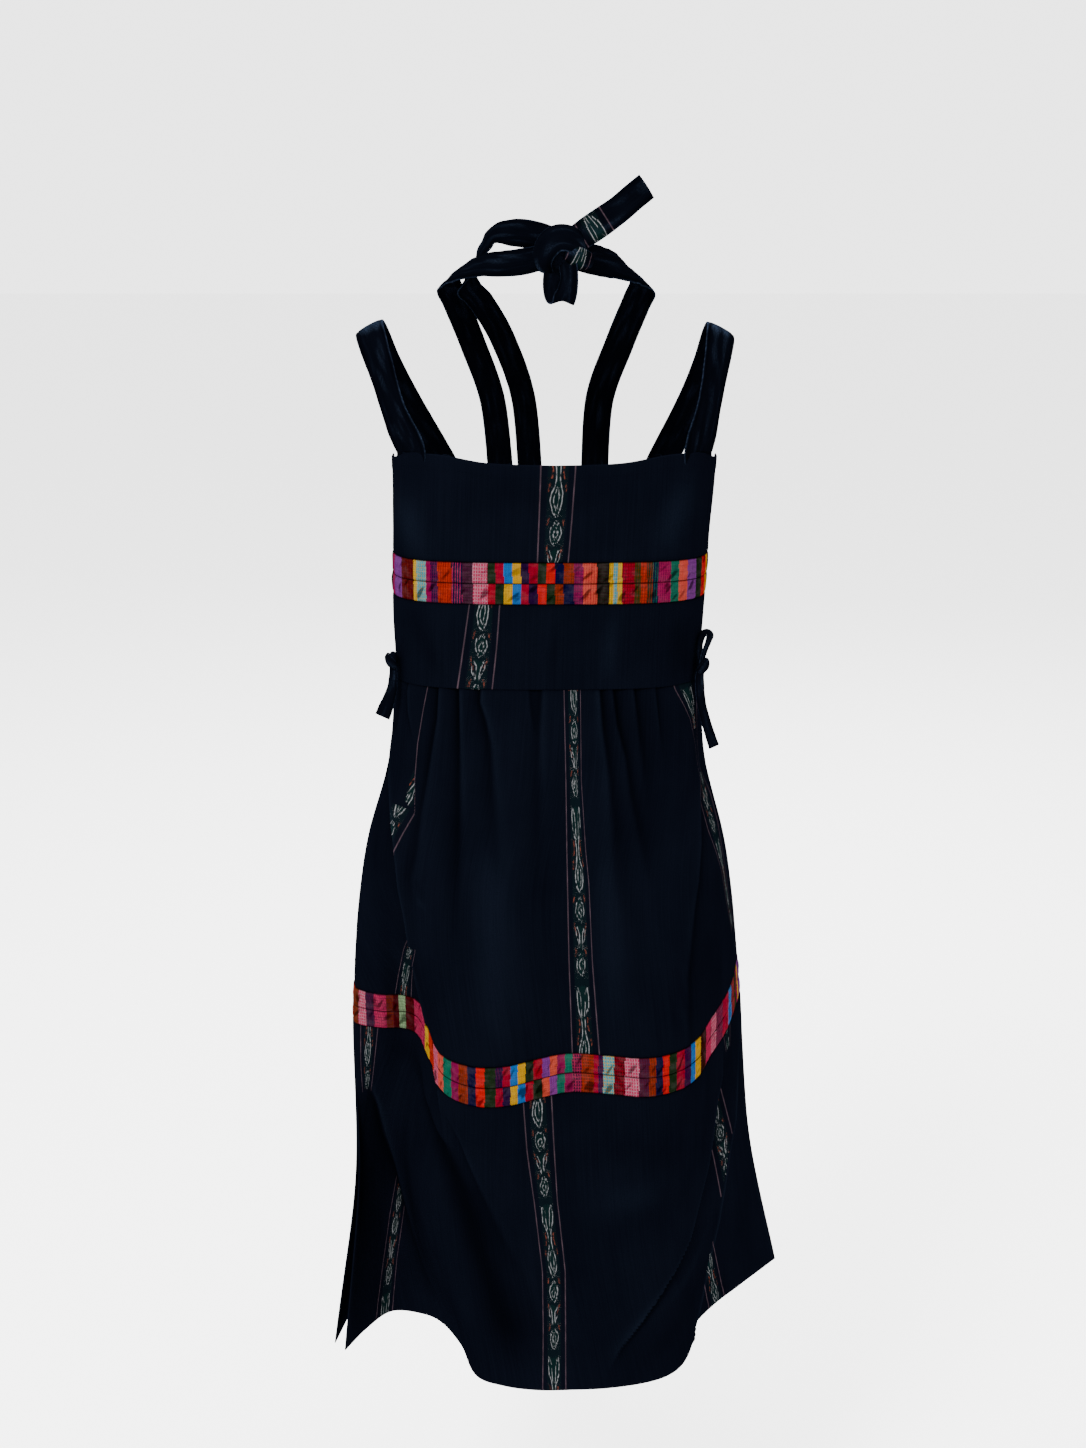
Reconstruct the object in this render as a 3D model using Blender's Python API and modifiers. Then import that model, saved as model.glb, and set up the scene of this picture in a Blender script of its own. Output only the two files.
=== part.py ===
"""A handwoven cotton dress, standing as it is worn, seen from its back along +Y.

The back bodice is two yoke panels with a woven colour band between them, the skirt is pleated
into a high waist and has a second colour band round it, and ties hold the dress behind the neck
and at both sides of the waist. Everything is in metres with +Z up. The origin lies between the
tops of the two shoulder straps, where the wearer holds the dress up. -Y is the back.
"""

import math

import bmesh
import bpy
import numpy as np

# Cloth
WALL = 0.0018
TIE_WALL = 0.0024
SEAM = 0.0004
ROOT_GAP = 0.0010
ROOT_RISE = 0.0120

# Heights of the edges and seams, from the origin
BAND_TOP = -0.2046
BAND_MIDDLE = -0.2239
BAND_BOTTOM = -0.2432
WAIST = -0.3250
SKIRT_BAND_TOP = -0.6550
SKIRT_BAND_MIDDLE = -0.6735
SKIRT_BAND_BOTTOM = -0.6920
HEM = -1.0000
SIDE_DROOP = 0.0050

# The bodice in plan: flatter than an ellipse across the back and chest
SQUARENESS = 2.6
# height, left side x, right side x, depth of the back, depth of the front
BODICE_SECTIONS = (
    (-0.4000, -0.1530, 0.1490, 0.1000, 0.1050),
    (-0.3250, -0.1480, 0.1448, 0.0950, 0.1000),
    (-0.2600, -0.1490, 0.1485, 0.1030, 0.1130),
    (-0.1950, -0.1475, 0.1515, 0.1055, 0.1250),
    (-0.1150, -0.1465, 0.1570, 0.1050, 0.1080),
    (-0.0500, -0.1465, 0.1575, 0.1000, 0.0900),
)
# share of the half width, height of the edge
BACK_TOP_EDGE = (
    (0.00, -0.1168), (0.40, -0.1150), (0.74, -0.1092), (0.90, -0.1115), (0.96, -0.1165), (1.00, -0.1195),
)
FRONT_TOP_EDGE = (
    (0.00, -0.1640), (0.30, -0.1560), (0.60, -0.1500), (0.80, -0.1505), (0.86, -0.1530),
    (0.92, -0.1640), (0.97, -0.1880), (1.00, -0.2080),
)

# One row for each fold of the skirt: x and y at the hip, the colour band, below it, and the hem
SKIRT_LEVELS = (WAIST, -0.4250, -0.5000, -0.6735, -0.8400, HEM)
# The second level's share of the way from the waist's ring to the hip's row, across and deep
FLARE_BEGINS = (0.34, 0.45)
BACK_FOLDS = (
    (-0.1800, 0.0055, -0.1995, -0.0070, -0.1925, -0.0700, -0.2045, -0.1350),
    (-0.1755, -0.0235, -0.1940, -0.0280, -0.1880, -0.0520, -0.1870, -0.0980),
    (-0.1650, -0.0500, -0.1700, -0.0400, -0.1660, -0.0380, -0.1630, -0.0670),
    (-0.1550, -0.0680, -0.1450, -0.0420, -0.1490, -0.0500, -0.1300, -0.0720),
    (-0.1460, -0.0850, -0.1290, -0.0600, -0.1390, -0.0780, -0.1080, -0.0900),
    (-0.1360, -0.0995, -0.1150, -0.1180, -0.1270, -0.1080, -0.0880, -0.1260),
    (-0.1200, -0.1145, -0.0990, -0.1790, -0.1060, -0.1420, -0.0710, -0.1760),
    (-0.0910, -0.1285, -0.0700, -0.2060, -0.0740, -0.1790, -0.0440, -0.1930),
    (-0.0590, -0.1365, -0.0390, -0.2060, -0.0390, -0.1930, -0.0100, -0.1995),
    (-0.0235, -0.1400, -0.0100, -0.1900, -0.0040, -0.1900, 0.0240, -0.1990),
    (0.0105, -0.1400, 0.0200, -0.1770, 0.0310, -0.1860, 0.0560, -0.1965),
    (0.0435, -0.1380, 0.0560, -0.1820, 0.0660, -0.1830, 0.0880, -0.1900),
    (0.0770, -0.1305, 0.0910, -0.1880, 0.0980, -0.1760, 0.1150, -0.1775),
    (0.1080, -0.1165, 0.1200, -0.1750, 0.1250, -0.1560, 0.1325, -0.1575),
    (0.1320, -0.0975, 0.1410, -0.1480, 0.1450, -0.1280, 0.1440, -0.1250),
    (0.1500, -0.0730, 0.1570, -0.1020, 0.1600, -0.0940, 0.1500, -0.0900),
    (0.1620, -0.0435, 0.1740, -0.0550, 0.1760, -0.0580, 0.1730, -0.0540),
    (0.1725, -0.0125, 0.1880, -0.0050, 0.1925, -0.0180, 0.2030, -0.0180),
    (0.1745, 0.0190, 0.1990, 0.0500, 0.2120, 0.0260, 0.2465, 0.0330),
)
FRONT_FOLDS = (
    (0.1745, 0.0190, 0.1990, 0.0500, 0.2110, 0.0330, 0.2380, 0.0560),
    (0.1665, 0.0585, 0.2005, 0.0940, 0.2040, 0.0800, 0.2250, 0.0860),
    (0.1435, 0.0935, 0.1960, 0.1290, 0.1950, 0.1260, 0.2090, 0.1290),
    (0.1125, 0.1185, 0.1650, 0.1450, 0.1660, 0.1480, 0.1720, 0.1500),
    (0.0750, 0.1315, 0.1280, 0.1560, 0.1310, 0.1700, 0.1380, 0.1810),
    (0.0375, 0.1355, 0.0850, 0.1850, 0.0880, 0.1950, 0.0950, 0.2040),
    (0.0000, 0.1380, 0.0400, 0.1790, 0.0420, 0.1880, 0.0460, 0.1870),
    (-0.0385, 0.1355, -0.0050, 0.1720, -0.0050, 0.1800, -0.0050, 0.1800),
    (-0.0770, 0.1315, -0.0500, 0.1840, -0.0520, 0.1970, -0.0560, 0.2070),
    (-0.1155, 0.1185, -0.0950, 0.1680, -0.0980, 0.1800, -0.1040, 0.1860),
    (-0.1465, 0.0955, -0.1350, 0.1360, -0.1400, 0.1400, -0.1500, 0.1370),
    (-0.1670, 0.0635, -0.1700, 0.0950, -0.1740, 0.0880, -0.1870, 0.0780),
    (-0.1775, 0.0330, -0.1900, 0.0440, -0.1980, 0.0150, -0.2110, 0.0050),
    (-0.1800, 0.0055, -0.1995, -0.0070, -0.1960, -0.0620, -0.2190, -0.1230),
)


# One row for each pleat at the waist: place along the seam from the left, depth of its trough,
# half width, how far it runs down, and how far it moves to the right on the way
BACK_PLEATS = (
    (0.075, 0.0030, 0.0050, 0.17, -0.004),
    (0.135, 0.0034, 0.0055, 0.21, -0.012),
    (0.200, 0.0038, 0.0060, 0.26, -0.016),
    (0.262, 0.0030, 0.0050, 0.17, 0.000),
    (0.328, 0.0036, 0.0055, 0.14, 0.006),
    (0.440, 0.0018, 0.0060, 0.09, 0.000),
    (0.490, 0.0016, 0.0055, 0.08, 0.000),
    (0.590, 0.0016, 0.0055, 0.08, 0.002),
    (0.660, 0.0034, 0.0055, 0.16, 0.007),
    (0.712, 0.0036, 0.0055, 0.18, 0.009),
    (0.775, 0.0038, 0.0060, 0.20, 0.008),
    (0.845, 0.0032, 0.0055, 0.17, 0.010),
    (0.915, 0.0030, 0.0050, 0.20, 0.010),
)
FRONT_PLEATS = (
    (0.08, 0.0030, 0.0055, 0.18, -0.006),
    (0.16, 0.0034, 0.0060, 0.22, -0.008),
    (0.25, 0.0036, 0.0060, 0.20, -0.006),
    (0.34, 0.0032, 0.0055, 0.15, -0.002),
    (0.45, 0.0020, 0.0060, 0.10, 0.000),
    (0.55, 0.0022, 0.0060, 0.11, 0.000),
    (0.66, 0.0034, 0.0055, 0.16, 0.003),
    (0.75, 0.0036, 0.0060, 0.21, 0.006),
    (0.84, 0.0032, 0.0060, 0.19, 0.008),
    (0.92, 0.0030, 0.0055, 0.17, 0.006),
)
PLEAT_OPENS = 0.030
PLEAT_AT_SEAM = 0.30
# The ridge beside each trough: its share of the trough's depth, and its place in half widths
RIDGE_SHARE = 0.6
RIDGE_AWAY = 1.7
# Length of each half of the waist seam, and the share of a fold's row left free at each side
SEAM_LENGTH = 0.40
SIDE_FREE = 0.015

# Straps and ties: x, y, z of the middle line, width, then the way that the face looks, as its
# azimuth from the back towards +X and its elevation, in degrees
LEFT_STRAP = (
    (-0.1400, -0.0600, -0.0750, 0.0285, -35, 5),
    (-0.1520, -0.0470, -0.0380, 0.0285, -40, 22),
    (-0.1630, -0.0220, -0.0100, 0.0285, -42, 50),
    (-0.1665, 0.0020, -0.0030, 0.0285, -90, 62),
    (-0.1640, 0.0250, -0.0120, 0.0285, -138, 48),
    (-0.1540, 0.0480, -0.0420, 0.0285, -145, 24),
    (-0.1360, 0.0700, -0.0820, 0.0285, -150, 8),
)
RIGHT_STRAP = (
    (0.1440, -0.0600, -0.0750, 0.0285, 35, 5),
    (0.1510, -0.0470, -0.0400, 0.0285, 40, 22),
    (0.1570, -0.0220, -0.0120, 0.0285, 42, 50),
    (0.1590, 0.0020, -0.0050, 0.0285, 90, 62),
    (0.1570, 0.0250, -0.0140, 0.0285, 138, 48),
    (0.1500, 0.0480, -0.0440, 0.0285, 145, 24),
    (0.1360, 0.0700, -0.0840, 0.0285, 150, 8),
)
LEFT_OUTER_TIE = (
    (-0.0560, 0.1020, -0.0800, 0.0250, -172, 15),
    (-0.0740, 0.0760, -0.0230, 0.0250, -160, 30),
    (-0.0880, 0.0400, 0.0180, 0.0250, -135, 48),
    (-0.0925, 0.0070, 0.0360, 0.0255, -85, 62),
    (-0.0790, -0.0180, 0.0480, 0.0260, -50, 50),
    (-0.0590, -0.0400, 0.0545, 0.0240, -35, 32),
    (-0.0400, -0.0560, 0.0560, 0.0240, -25, 20),
    (-0.0200, -0.0670, 0.0585, 0.0235, -15, 12),
    (0.0010, -0.0730, 0.0640, 0.0200, -5, 8),
    (0.0110, -0.0740, 0.0670, 0.0160, 0, 5),
)
LEFT_INNER_TIE = (
    (-0.0255, 0.1020, -0.0780, 0.0240, 180, 15),
    (-0.0440, 0.0700, -0.0200, 0.0240, -168, 32),
    (-0.0630, 0.0340, 0.0170, 0.0240, -140, 48),
    (-0.0750, 0.0060, 0.0345, 0.0240, -90, 58),
    (-0.0650, -0.0110, 0.0570, 0.0240, -55, 40),
    (-0.0500, -0.0320, 0.0800, 0.0180, -38, 20),
    (-0.0310, -0.0510, 0.0825, 0.0240, -22, 8),
    (-0.0120, -0.0595, 0.0805, 0.0240, -12, 5),
    (0.0040, -0.0640, 0.0770, 0.0200, -4, 5),
    (0.0110, -0.0660, 0.0740, 0.0160, 0, 5),
)
RIGHT_TIE = (
    (0.0500, 0.1020, -0.0800, 0.0280, 172, 15),
    (0.0680, 0.0760, -0.0240, 0.0280, 160, 30),
    (0.0820, 0.0400, 0.0160, 0.0275, 135, 48),
    (0.0870, 0.0080, 0.0340, 0.0275, 85, 62),
    (0.0760, -0.0170, 0.0450, 0.0280, 50, 50),
    (0.0600, -0.0390, 0.0540, 0.0285, 35, 30),
    (0.0440, -0.0560, 0.0585, 0.0285, 24, 18),
    (0.0280, -0.0670, 0.0620, 0.0250, 14, 10),
    (0.0130, -0.0720, 0.0670, 0.0160, 0, 5),
)
HALTER_TAIL = (
    (0.0130, -0.0740, 0.0690, 0.0200, 0, 10),
    (0.0260, -0.0800, 0.0790, 0.0240, -5, 15),
    (0.0420, -0.0830, 0.0895, 0.0250, 5, 5),
    (0.0600, -0.0830, 0.1020, 0.0240, -5, 10),
    (0.0740, -0.0800, 0.1135, 0.0235, 8, 5),
    (0.0850, -0.0760, 0.1220, 0.0240, 15, 0),
)
HALTER_LOOP = (
    (0.0085, -0.0790, 0.0600, 0.0220, 5, 0),
    (0.0065, -0.0800, 0.0440, 0.0240, 10, 0),
    (0.0070, -0.0815, 0.0310, 0.0230, 5, 5),
    (0.0105, -0.0860, 0.0245, 0.0210, -5, 80),
    (0.0150, -0.0915, 0.0300, 0.0195, 160, 5),
    (0.0175, -0.0920, 0.0440, 0.0185, 150, 0),
    (0.0160, -0.0860, 0.0600, 0.0170, 160, 0),
)
LEFT_SIDE_TAIL = (
    (-0.1481, -0.0430, -0.3109, 0.0080, -40, 0),
    (-0.1478, -0.0485, -0.3230, 0.0090, -30, 10),
    (-0.1488, -0.0500, -0.3350, 0.0105, -22, 8),
    (-0.1520, -0.0500, -0.3460, 0.0125, -18, 4),
    (-0.1558, -0.0495, -0.3560, 0.0145, -15, 0),
    (-0.1590, -0.0490, -0.3640, 0.0150, -15, -4),
)
RIGHT_SIDE_TAIL = (
    (0.1449, -0.0430, -0.3158, 0.0080, 40, 0),
    (0.1430, -0.0490, -0.3260, 0.0100, 28, 8),
    (0.1445, -0.0505, -0.3470, 0.0095, 22, 6),
    (0.1494, -0.0500, -0.3670, 0.0098, 20, 4),
    (0.1542, -0.0490, -0.3820, 0.0102, 18, 2),
    (0.1584, -0.0480, -0.3943, 0.0110, 16, 0),
)
RIGHT_SIDE_LOOP = (
    (0.1440, -0.0430, -0.3100, 0.0060, 60, 0),
    (0.1440, -0.0430, -0.3020, 0.0065, 60, -5),
    (0.1475, -0.0360, -0.2950, 0.0070, 65, -10),
    (0.1520, -0.0260, -0.2890, 0.0070, 70, 10),
    (0.1530, -0.0160, -0.2862, 0.0070, 85, 75),
    (0.1510, -0.0060, -0.2890, 0.0070, 95, 40),
    (0.1500, -0.0080, -0.3000, 0.0070, 88, 5),
    (0.1495, -0.0200, -0.3100, 0.0065, 80, 0),
    (0.1470, -0.0360, -0.3140, 0.0060, 70, 0),
)
# Knots: centre, half sizes, and the turn of the main groove in degrees
HALTER_KNOT = ((0.0110, -0.0760, 0.0690), (0.0205, 0.0150, 0.0215), 25)
LEFT_SIDE_KNOT = ((-0.1481, -0.0430, -0.3109), (0.0050, 0.0062, 0.0112), 0)
RIGHT_SIDE_KNOT = ((0.1449, -0.0430, -0.3158), (0.0050, 0.0062, 0.0086), 0)

# Grooves between a knot's turns: depth, place and half width, all as shares of its half size
TURNED_GROOVE = (0.10, 0.15, 0.16)
LEVEL_GROOVE = (0.07, -0.45, 0.14)

# Where the straps and ties meet the bodice: the level, half width there, and x of their middle
ROOT_LEVEL = -0.1150
STRAP_HALF = 0.0140
BACK_STRAP_X = (-0.1265, 0.1365)
FRONT_STRAP_X = (-0.1060, 0.1110)
FRONT_TIE_X = (-0.0490, -0.0190, 0.0460)
FRONT_TIE_HALF = (0.0125, 0.0120, 0.0135)

# How finely each wall is cut
RING_SAMPLES = 361
PLACE_SAMPLES = 200
BODICE_COLUMNS = 28
UPPER_YOKE_ROWS = 4
LOWER_YOKE_ROWS = 3
FRONT_ROWS = 7
BAND_ROWS = 1
UPPER_TIER_ROWS = 8
LOWER_TIER_ROWS = 7
SKIRT_STEPS = 3
PLEAT_STEPS = 4
FRONT_PLEAT_STEPS = 3
STRIP_STEPS = 2
KNOT_SEGMENTS = 18
KNOT_RINGS = 10
KNOT_CLEARANCE = 0.0004
FOLD_CREASE = 0.0010

NAVY = ((0.004, 0.006, 0.012, 1.0), 0.82)
NAVY_TIE = ((0.010, 0.014, 0.024, 1.0), 0.88)
COLOUR_BAND = ((0.280, 0.060, 0.075, 1.0), 0.80)


def through(keys, values, at):
    """Values on a smooth curve that passes through every row."""
    keys, values = np.asarray(keys, float), np.asarray(values, float)
    slopes = np.gradient(values, keys, axis=0)
    i = int(np.clip(np.searchsorted(keys, at, side="right") - 1, 0, len(keys) - 2))
    span = keys[i + 1] - keys[i]
    t = (at - keys[i]) / span
    start = (1 + 2 * t) * (1 - t) ** 2
    lift = t * (1 - t) ** 2 * span
    end = t * t * (3 - 2 * t)
    settle = t * t * (t - 1) * span
    return start * values[i] + lift * slopes[i] + end * values[i + 1] + settle * slopes[i + 1]


def ease(t):
    t = min(max(t, 0.0), 1.0)
    return t * t * (3 - 2 * t)


def bodice_point(angle, z):
    """A point of the bodice's middle surface. The angle is 0 at the centre back and 90 on +X."""
    table = np.array(BODICE_SECTIONS)
    left, right, back, front = through(table[:, 0], table[:, 1:], z)
    across, deep = math.sin(math.radians(angle)), math.cos(math.radians(angle))
    half = (right - left) / 2
    x = (left + right) / 2 + half * math.copysign(abs(across) ** (2 / SQUARENESS), across)
    y = -math.copysign(abs(deep) ** (2 / SQUARENESS), deep) * (back if deep > 0 else front)
    return x, y, z


def even_angles(start, end, count, z=WAIST):
    """Angles that cut the bodice's ring into equal lengths of cloth."""
    angles = np.linspace(start, end, RING_SAMPLES)
    points = np.array([bodice_point(a, z) for a in angles])
    run = np.append(0, np.cumsum(np.linalg.norm(np.diff(points, axis=0), axis=1)))
    trim = SEAM / 2
    return np.interp(np.linspace(trim, run[-1] - trim, count), run, angles)


def droop(angle):
    """How much lower a level seam lies at this angle than at the centre back."""
    at_back = math.cos(math.radians(angle)) > 0
    return SIDE_DROOP * (math.sin(math.radians(angle)) ** 2 if at_back else 1.0)


def top_edge(angle, table):
    share = abs(math.sin(math.radians(angle))) ** (2 / SQUARENESS)
    keys, heights = zip(*table)
    return float(through(keys, heights, share))


def angle_of(x, z, front):
    """The angle at which the bodice's ring has this x."""
    table = np.array(BODICE_SECTIONS)
    left, right = through(table[:, 0], table[:, 1:3], z)
    share = (x - (left + right) / 2) / ((right - left) / 2)
    angle = math.degrees(math.asin(math.copysign(abs(share) ** (SQUARENESS / 2), share)))
    return 180 - angle if front else angle


def collection(name):
    made = bpy.data.collections.new(name)
    bpy.context.scene.collection.children.link(made)
    return made


def material(name, look):
    made = bpy.data.materials.new(name)
    made.use_nodes = True
    shader = made.node_tree.nodes["Principled BSDF"]
    shader.inputs["Base Color"].default_value = look[0]
    shader.inputs["Roughness"].default_value = look[1]
    return made


def loft(name, grid, wall, look, home):
    """A cloth panel: an open surface through rows of points, thickened by half a wall each way."""
    mesh = bpy.data.meshes.new(name)
    body = bmesh.new()
    rows = [[body.verts.new(point) for point in row] for row in grid]
    for upper, lower in zip(rows, rows[1:]):
        for a, b, c, d in zip(upper, upper[1:], lower[1:], lower):
            body.faces.new((a, b, c, d))
    body.to_mesh(mesh)
    body.free()
    mesh.shade_smooth()
    mesh.materials.append(material(name, look))
    panel = bpy.data.objects.new(name, mesh)
    home.objects.link(panel)
    thick = panel.modifiers.new("cloth", "SOLIDIFY")
    thick.thickness = wall
    thick.offset = 0
    return panel


def bodice_panel(name, angles, top, bottom, rows, look, home):
    """A panel between two edges, each a function of the angle that gives its height."""
    shares = np.linspace(0, 1, rows + 1)
    grid = [
        [bodice_point(a, top(a) + share * (bottom(a) - top(a))) for a in angles]
        for share in shares
    ]
    return loft(name, grid, WALL, look, home)


def seam(height, side):
    """The edge of a panel half a seam above (+1) or below (-1) this height."""
    return lambda angle: height - droop(angle) + side * SEAM / 2


def make_bodice(home):
    back = even_angles(-90, 90, BODICE_COLUMNS + 1)
    front = even_angles(90, 270, BODICE_COLUMNS + 1)
    back_top = lambda angle: top_edge(angle, BACK_TOP_EDGE)
    front_top = lambda angle: top_edge(angle, FRONT_TOP_EDGE)
    for name, angles, top, bottom, rows, look in (
        ("back_yoke_upper", back, back_top, seam(BAND_TOP, 1), UPPER_YOKE_ROWS, NAVY),
        ("back_band_upper_row", back, seam(BAND_TOP, -1), seam(BAND_MIDDLE, 1), BAND_ROWS, COLOUR_BAND),
        ("back_band_lower_row", back, seam(BAND_MIDDLE, -1), seam(BAND_BOTTOM, 1), BAND_ROWS, COLOUR_BAND),
        ("back_yoke_lower", back, seam(BAND_BOTTOM, -1), seam(WAIST, 1), LOWER_YOKE_ROWS, NAVY),
        ("front_bodice", front, front_top, seam(WAIST, 1), FRONT_ROWS, NAVY),
    ):
        bodice_panel(name, angles, top, bottom, rows, look, home)


def pleat_depth(place, drop, pleats, length):
    """How far the pleats take the cloth inwards, at a place along the seam and a drop below it."""
    depth = 0.0
    for at, trough, half, run, drift in pleats:
        fade = (PLEAT_AT_SEAM + (1 - PLEAT_AT_SEAM) * ease(drop / PLEAT_OPENS)) * (1 - ease(drop / run))
        away = (place - at) * length - drift * drop / run
        depth += trough * fade * math.exp(-((away / half) ** 2))
        depth -= RIDGE_SHARE * trough * fade * math.exp(-((away / half - RIDGE_AWAY) ** 2))
    return depth


def skirt_panel(name, folds, pleats, ends, steps, heights, look, home):
    """A skirt panel between two heights, on the smooth surface through the folds' rows."""
    last = len(folds) - 1
    places = np.linspace(SIDE_FREE, last - SIDE_FREE, last * steps + 1)
    angles = even_angles(ends[0], ends[1], PLACE_SAMPLES)
    level_keys = -np.array(SKIRT_LEVELS)
    grid = [[] for _ in heights]
    for place in places:
        share = place / last
        angle = float(np.interp(share, np.linspace(0, 1, PLACE_SAMPLES), angles))
        row = through(np.arange(last + 1), folds, place).reshape(-1, 2)
        waist = np.array(bodice_point(angle, WAIST)[:2])
        flare = waist + (row[0] - waist) * FLARE_BEGINS
        levels = np.vstack([waist, flare, row])
        for line, height in zip(grid, heights):
            z = height(angle)
            x, y = through(level_keys, levels, -z)
            inwards = pleat_depth(share, max(WAIST - z, 0), pleats, SEAM_LENGTH)
            away = math.hypot(x, y)
            line.append((x - inwards * x / away, y - inwards * y / away, z))
    return loft(name, grid, WALL, look, home)


def level(height, side):
    return lambda angle: height + side * SEAM / 2


def between(top, bottom, rows):
    """Row heights from one edge to another, as functions of the angle."""
    return [
        lambda angle, share=share: top(angle) + share * (bottom(angle) - top(angle))
        for share in np.linspace(0, 1, rows + 1)
    ]


def make_skirt(home):
    for side, folds, pleats, ends, fine in (
        ("back", BACK_FOLDS, BACK_PLEATS, (-90, 90), PLEAT_STEPS),
        ("front", FRONT_FOLDS, FRONT_PLEATS, (90, 270), FRONT_PLEAT_STEPS),
    ):
        upper = between(seam(WAIST, -1), level(SKIRT_BAND_TOP, 1), UPPER_TIER_ROWS)
        first = between(level(SKIRT_BAND_TOP, -1), level(SKIRT_BAND_MIDDLE, 1), BAND_ROWS)
        second = between(level(SKIRT_BAND_MIDDLE, -1), level(SKIRT_BAND_BOTTOM, 1), BAND_ROWS)
        lower = between(level(SKIRT_BAND_BOTTOM, -1), level(HEM, 0), LOWER_TIER_ROWS)
        for name, pleated, steps, heights, look in (
            (f"skirt_upper_{side}", pleats, fine, upper, NAVY),
            (f"skirt_band_upper_row_{side}", (), SKIRT_STEPS, first, COLOUR_BAND),
            (f"skirt_band_lower_row_{side}", (), SKIRT_STEPS, second, COLOUR_BAND),
            (f"skirt_lower_{side}", (), SKIRT_STEPS, lower, NAVY),
        ):
            skirt_panel(name, folds, pleated, ends, steps, heights, look, home)


def facing(azimuth, elevation):
    """The unit vector that looks this way, with azimuth 0 to the back and 90 to +X."""
    a, e = math.radians(azimuth), math.radians(elevation)
    return np.array([math.sin(a) * math.cos(e), -math.cos(a) * math.cos(e), math.sin(e)])


def strip_grid(rows):
    """Points three across on a smooth strip through the rows."""
    table = np.array([(*row[:4], *facing(*row[4:])) for row in rows])
    keys = np.arange(len(table))
    at = np.linspace(0, len(table) - 1, (len(table) - 1) * STRIP_STEPS + 1)
    line = np.array([through(keys, table, k) for k in at])
    path = line[:, :3]
    along = np.gradient(path, axis=0)
    along /= np.linalg.norm(along, axis=1)[:, None]
    across = np.cross(along, line[:, 4:])
    across /= np.linalg.norm(across, axis=1)[:, None]
    half = line[:, 3:4] / 2
    crown = np.cross(across, along) * FOLD_CREASE
    return np.stack([path - across * half, path + crown, path + across * half], axis=1)


def root(x, half, table, front):
    """Three points just above the bodice's top edge, where a strap or tie is sewn to it."""
    points = []
    for place in (x - half, x, x + half):
        edge = top_edge(angle_of(place, ROOT_LEVEL, front), table)
        points.append(bodice_point(angle_of(place, edge, front), edge + ROOT_GAP))
    return np.array(points)


def root_rows(points):
    """The same root as two rows of a strip's table: on the edge, then straight above it."""
    across = points[2] - points[0]
    x, y, z = points.mean(axis=0)
    azimuth = math.degrees(math.atan2(across[1], across[0]))
    azimuth = azimuth if y < 0 else 180 + azimuth
    width = float(np.linalg.norm(across))
    return (x, y, z, width, azimuth, 0), (x, y, z + ROOT_RISE, width, azimuth, 0)


def seated(grid, points, end):
    """Moves an end of a strip onto its root, the same way round, and runs it straight to the rise."""
    row, second, rise = (0, 1, 2) if end == "first" else (-1, -2, -3)
    if np.linalg.norm(grid[row][0] - points[0]) > np.linalg.norm(grid[row][0] - points[2]):
        points = points[::-1]
    grid[row] = points
    grid[second] = (points + grid[rise]) / 2
    return grid


def make_strap(name, rows, back_x, front_x, home):
    back = root(back_x, STRAP_HALF, BACK_TOP_EDGE, False)
    front = root(front_x, STRAP_HALF, FRONT_TOP_EDGE, True)
    grid = strip_grid((*root_rows(back), *rows, *reversed(root_rows(front))))
    seated(grid, back, "first")
    seated(grid, front, "last")
    return loft(name, grid, TIE_WALL, NAVY_TIE, home)


def make_tie(name, rows, x, half, home):
    front = root(x, half, FRONT_TOP_EDGE, True)
    grid = strip_grid((*root_rows(front), *rows))
    seated(grid, front, "first")
    return loft(name, grid, TIE_WALL, NAVY_TIE, home)


def grooved(place, groove):
    depth, middle, half = groove
    return depth * math.exp(-(((place - middle) / half) ** 2))


def make_knot(name, place, home, cutters):
    """A pulled knot: a rounded lump with the grooves between its turns, and a cutter round it."""
    centre, half, turn = place
    knots = []
    for label, grow in ((name, 0.0), (name + "_room", KNOT_CLEARANCE)):
        mesh = bpy.data.meshes.new(label)
        body = bmesh.new()
        bmesh.ops.create_uvsphere(body, u_segments=KNOT_SEGMENTS, v_segments=KNOT_RINGS, radius=1)
        for vert in body.verts:
            x, y, z = vert.co
            turned = x * math.cos(math.radians(turn)) + z * math.sin(math.radians(turn))
            groove = grooved(turned, TURNED_GROOVE) + grooved(z, LEVEL_GROOVE)
            vert.co = [c * (1 - groove) * (h + grow) for c, h in zip((x, y, z), half)]
            vert.co += vert.co.normalized() * grow
        body.to_mesh(mesh)
        body.free()
        mesh.shade_smooth()
        knot = bpy.data.objects.new(label, mesh)
        knot.location = centre
        knots.append(knot)
    solid, room = knots
    solid.data.materials.append(material(name, NAVY_TIE))
    home.objects.link(solid)
    cutters.objects.link(room)
    room.hide_render = True
    room.display_type = "WIRE"
    return room


def make_free_strip(name, rows, home):
    return loft(name, strip_grid(rows), TIE_WALL, NAVY_TIE, home)


def enter(strip, room):
    """Ends a strip where it goes into a knot."""
    cut = strip.modifiers.new("into the knot", "BOOLEAN")
    cut.operation = "DIFFERENCE"
    cut.object = room


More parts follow.
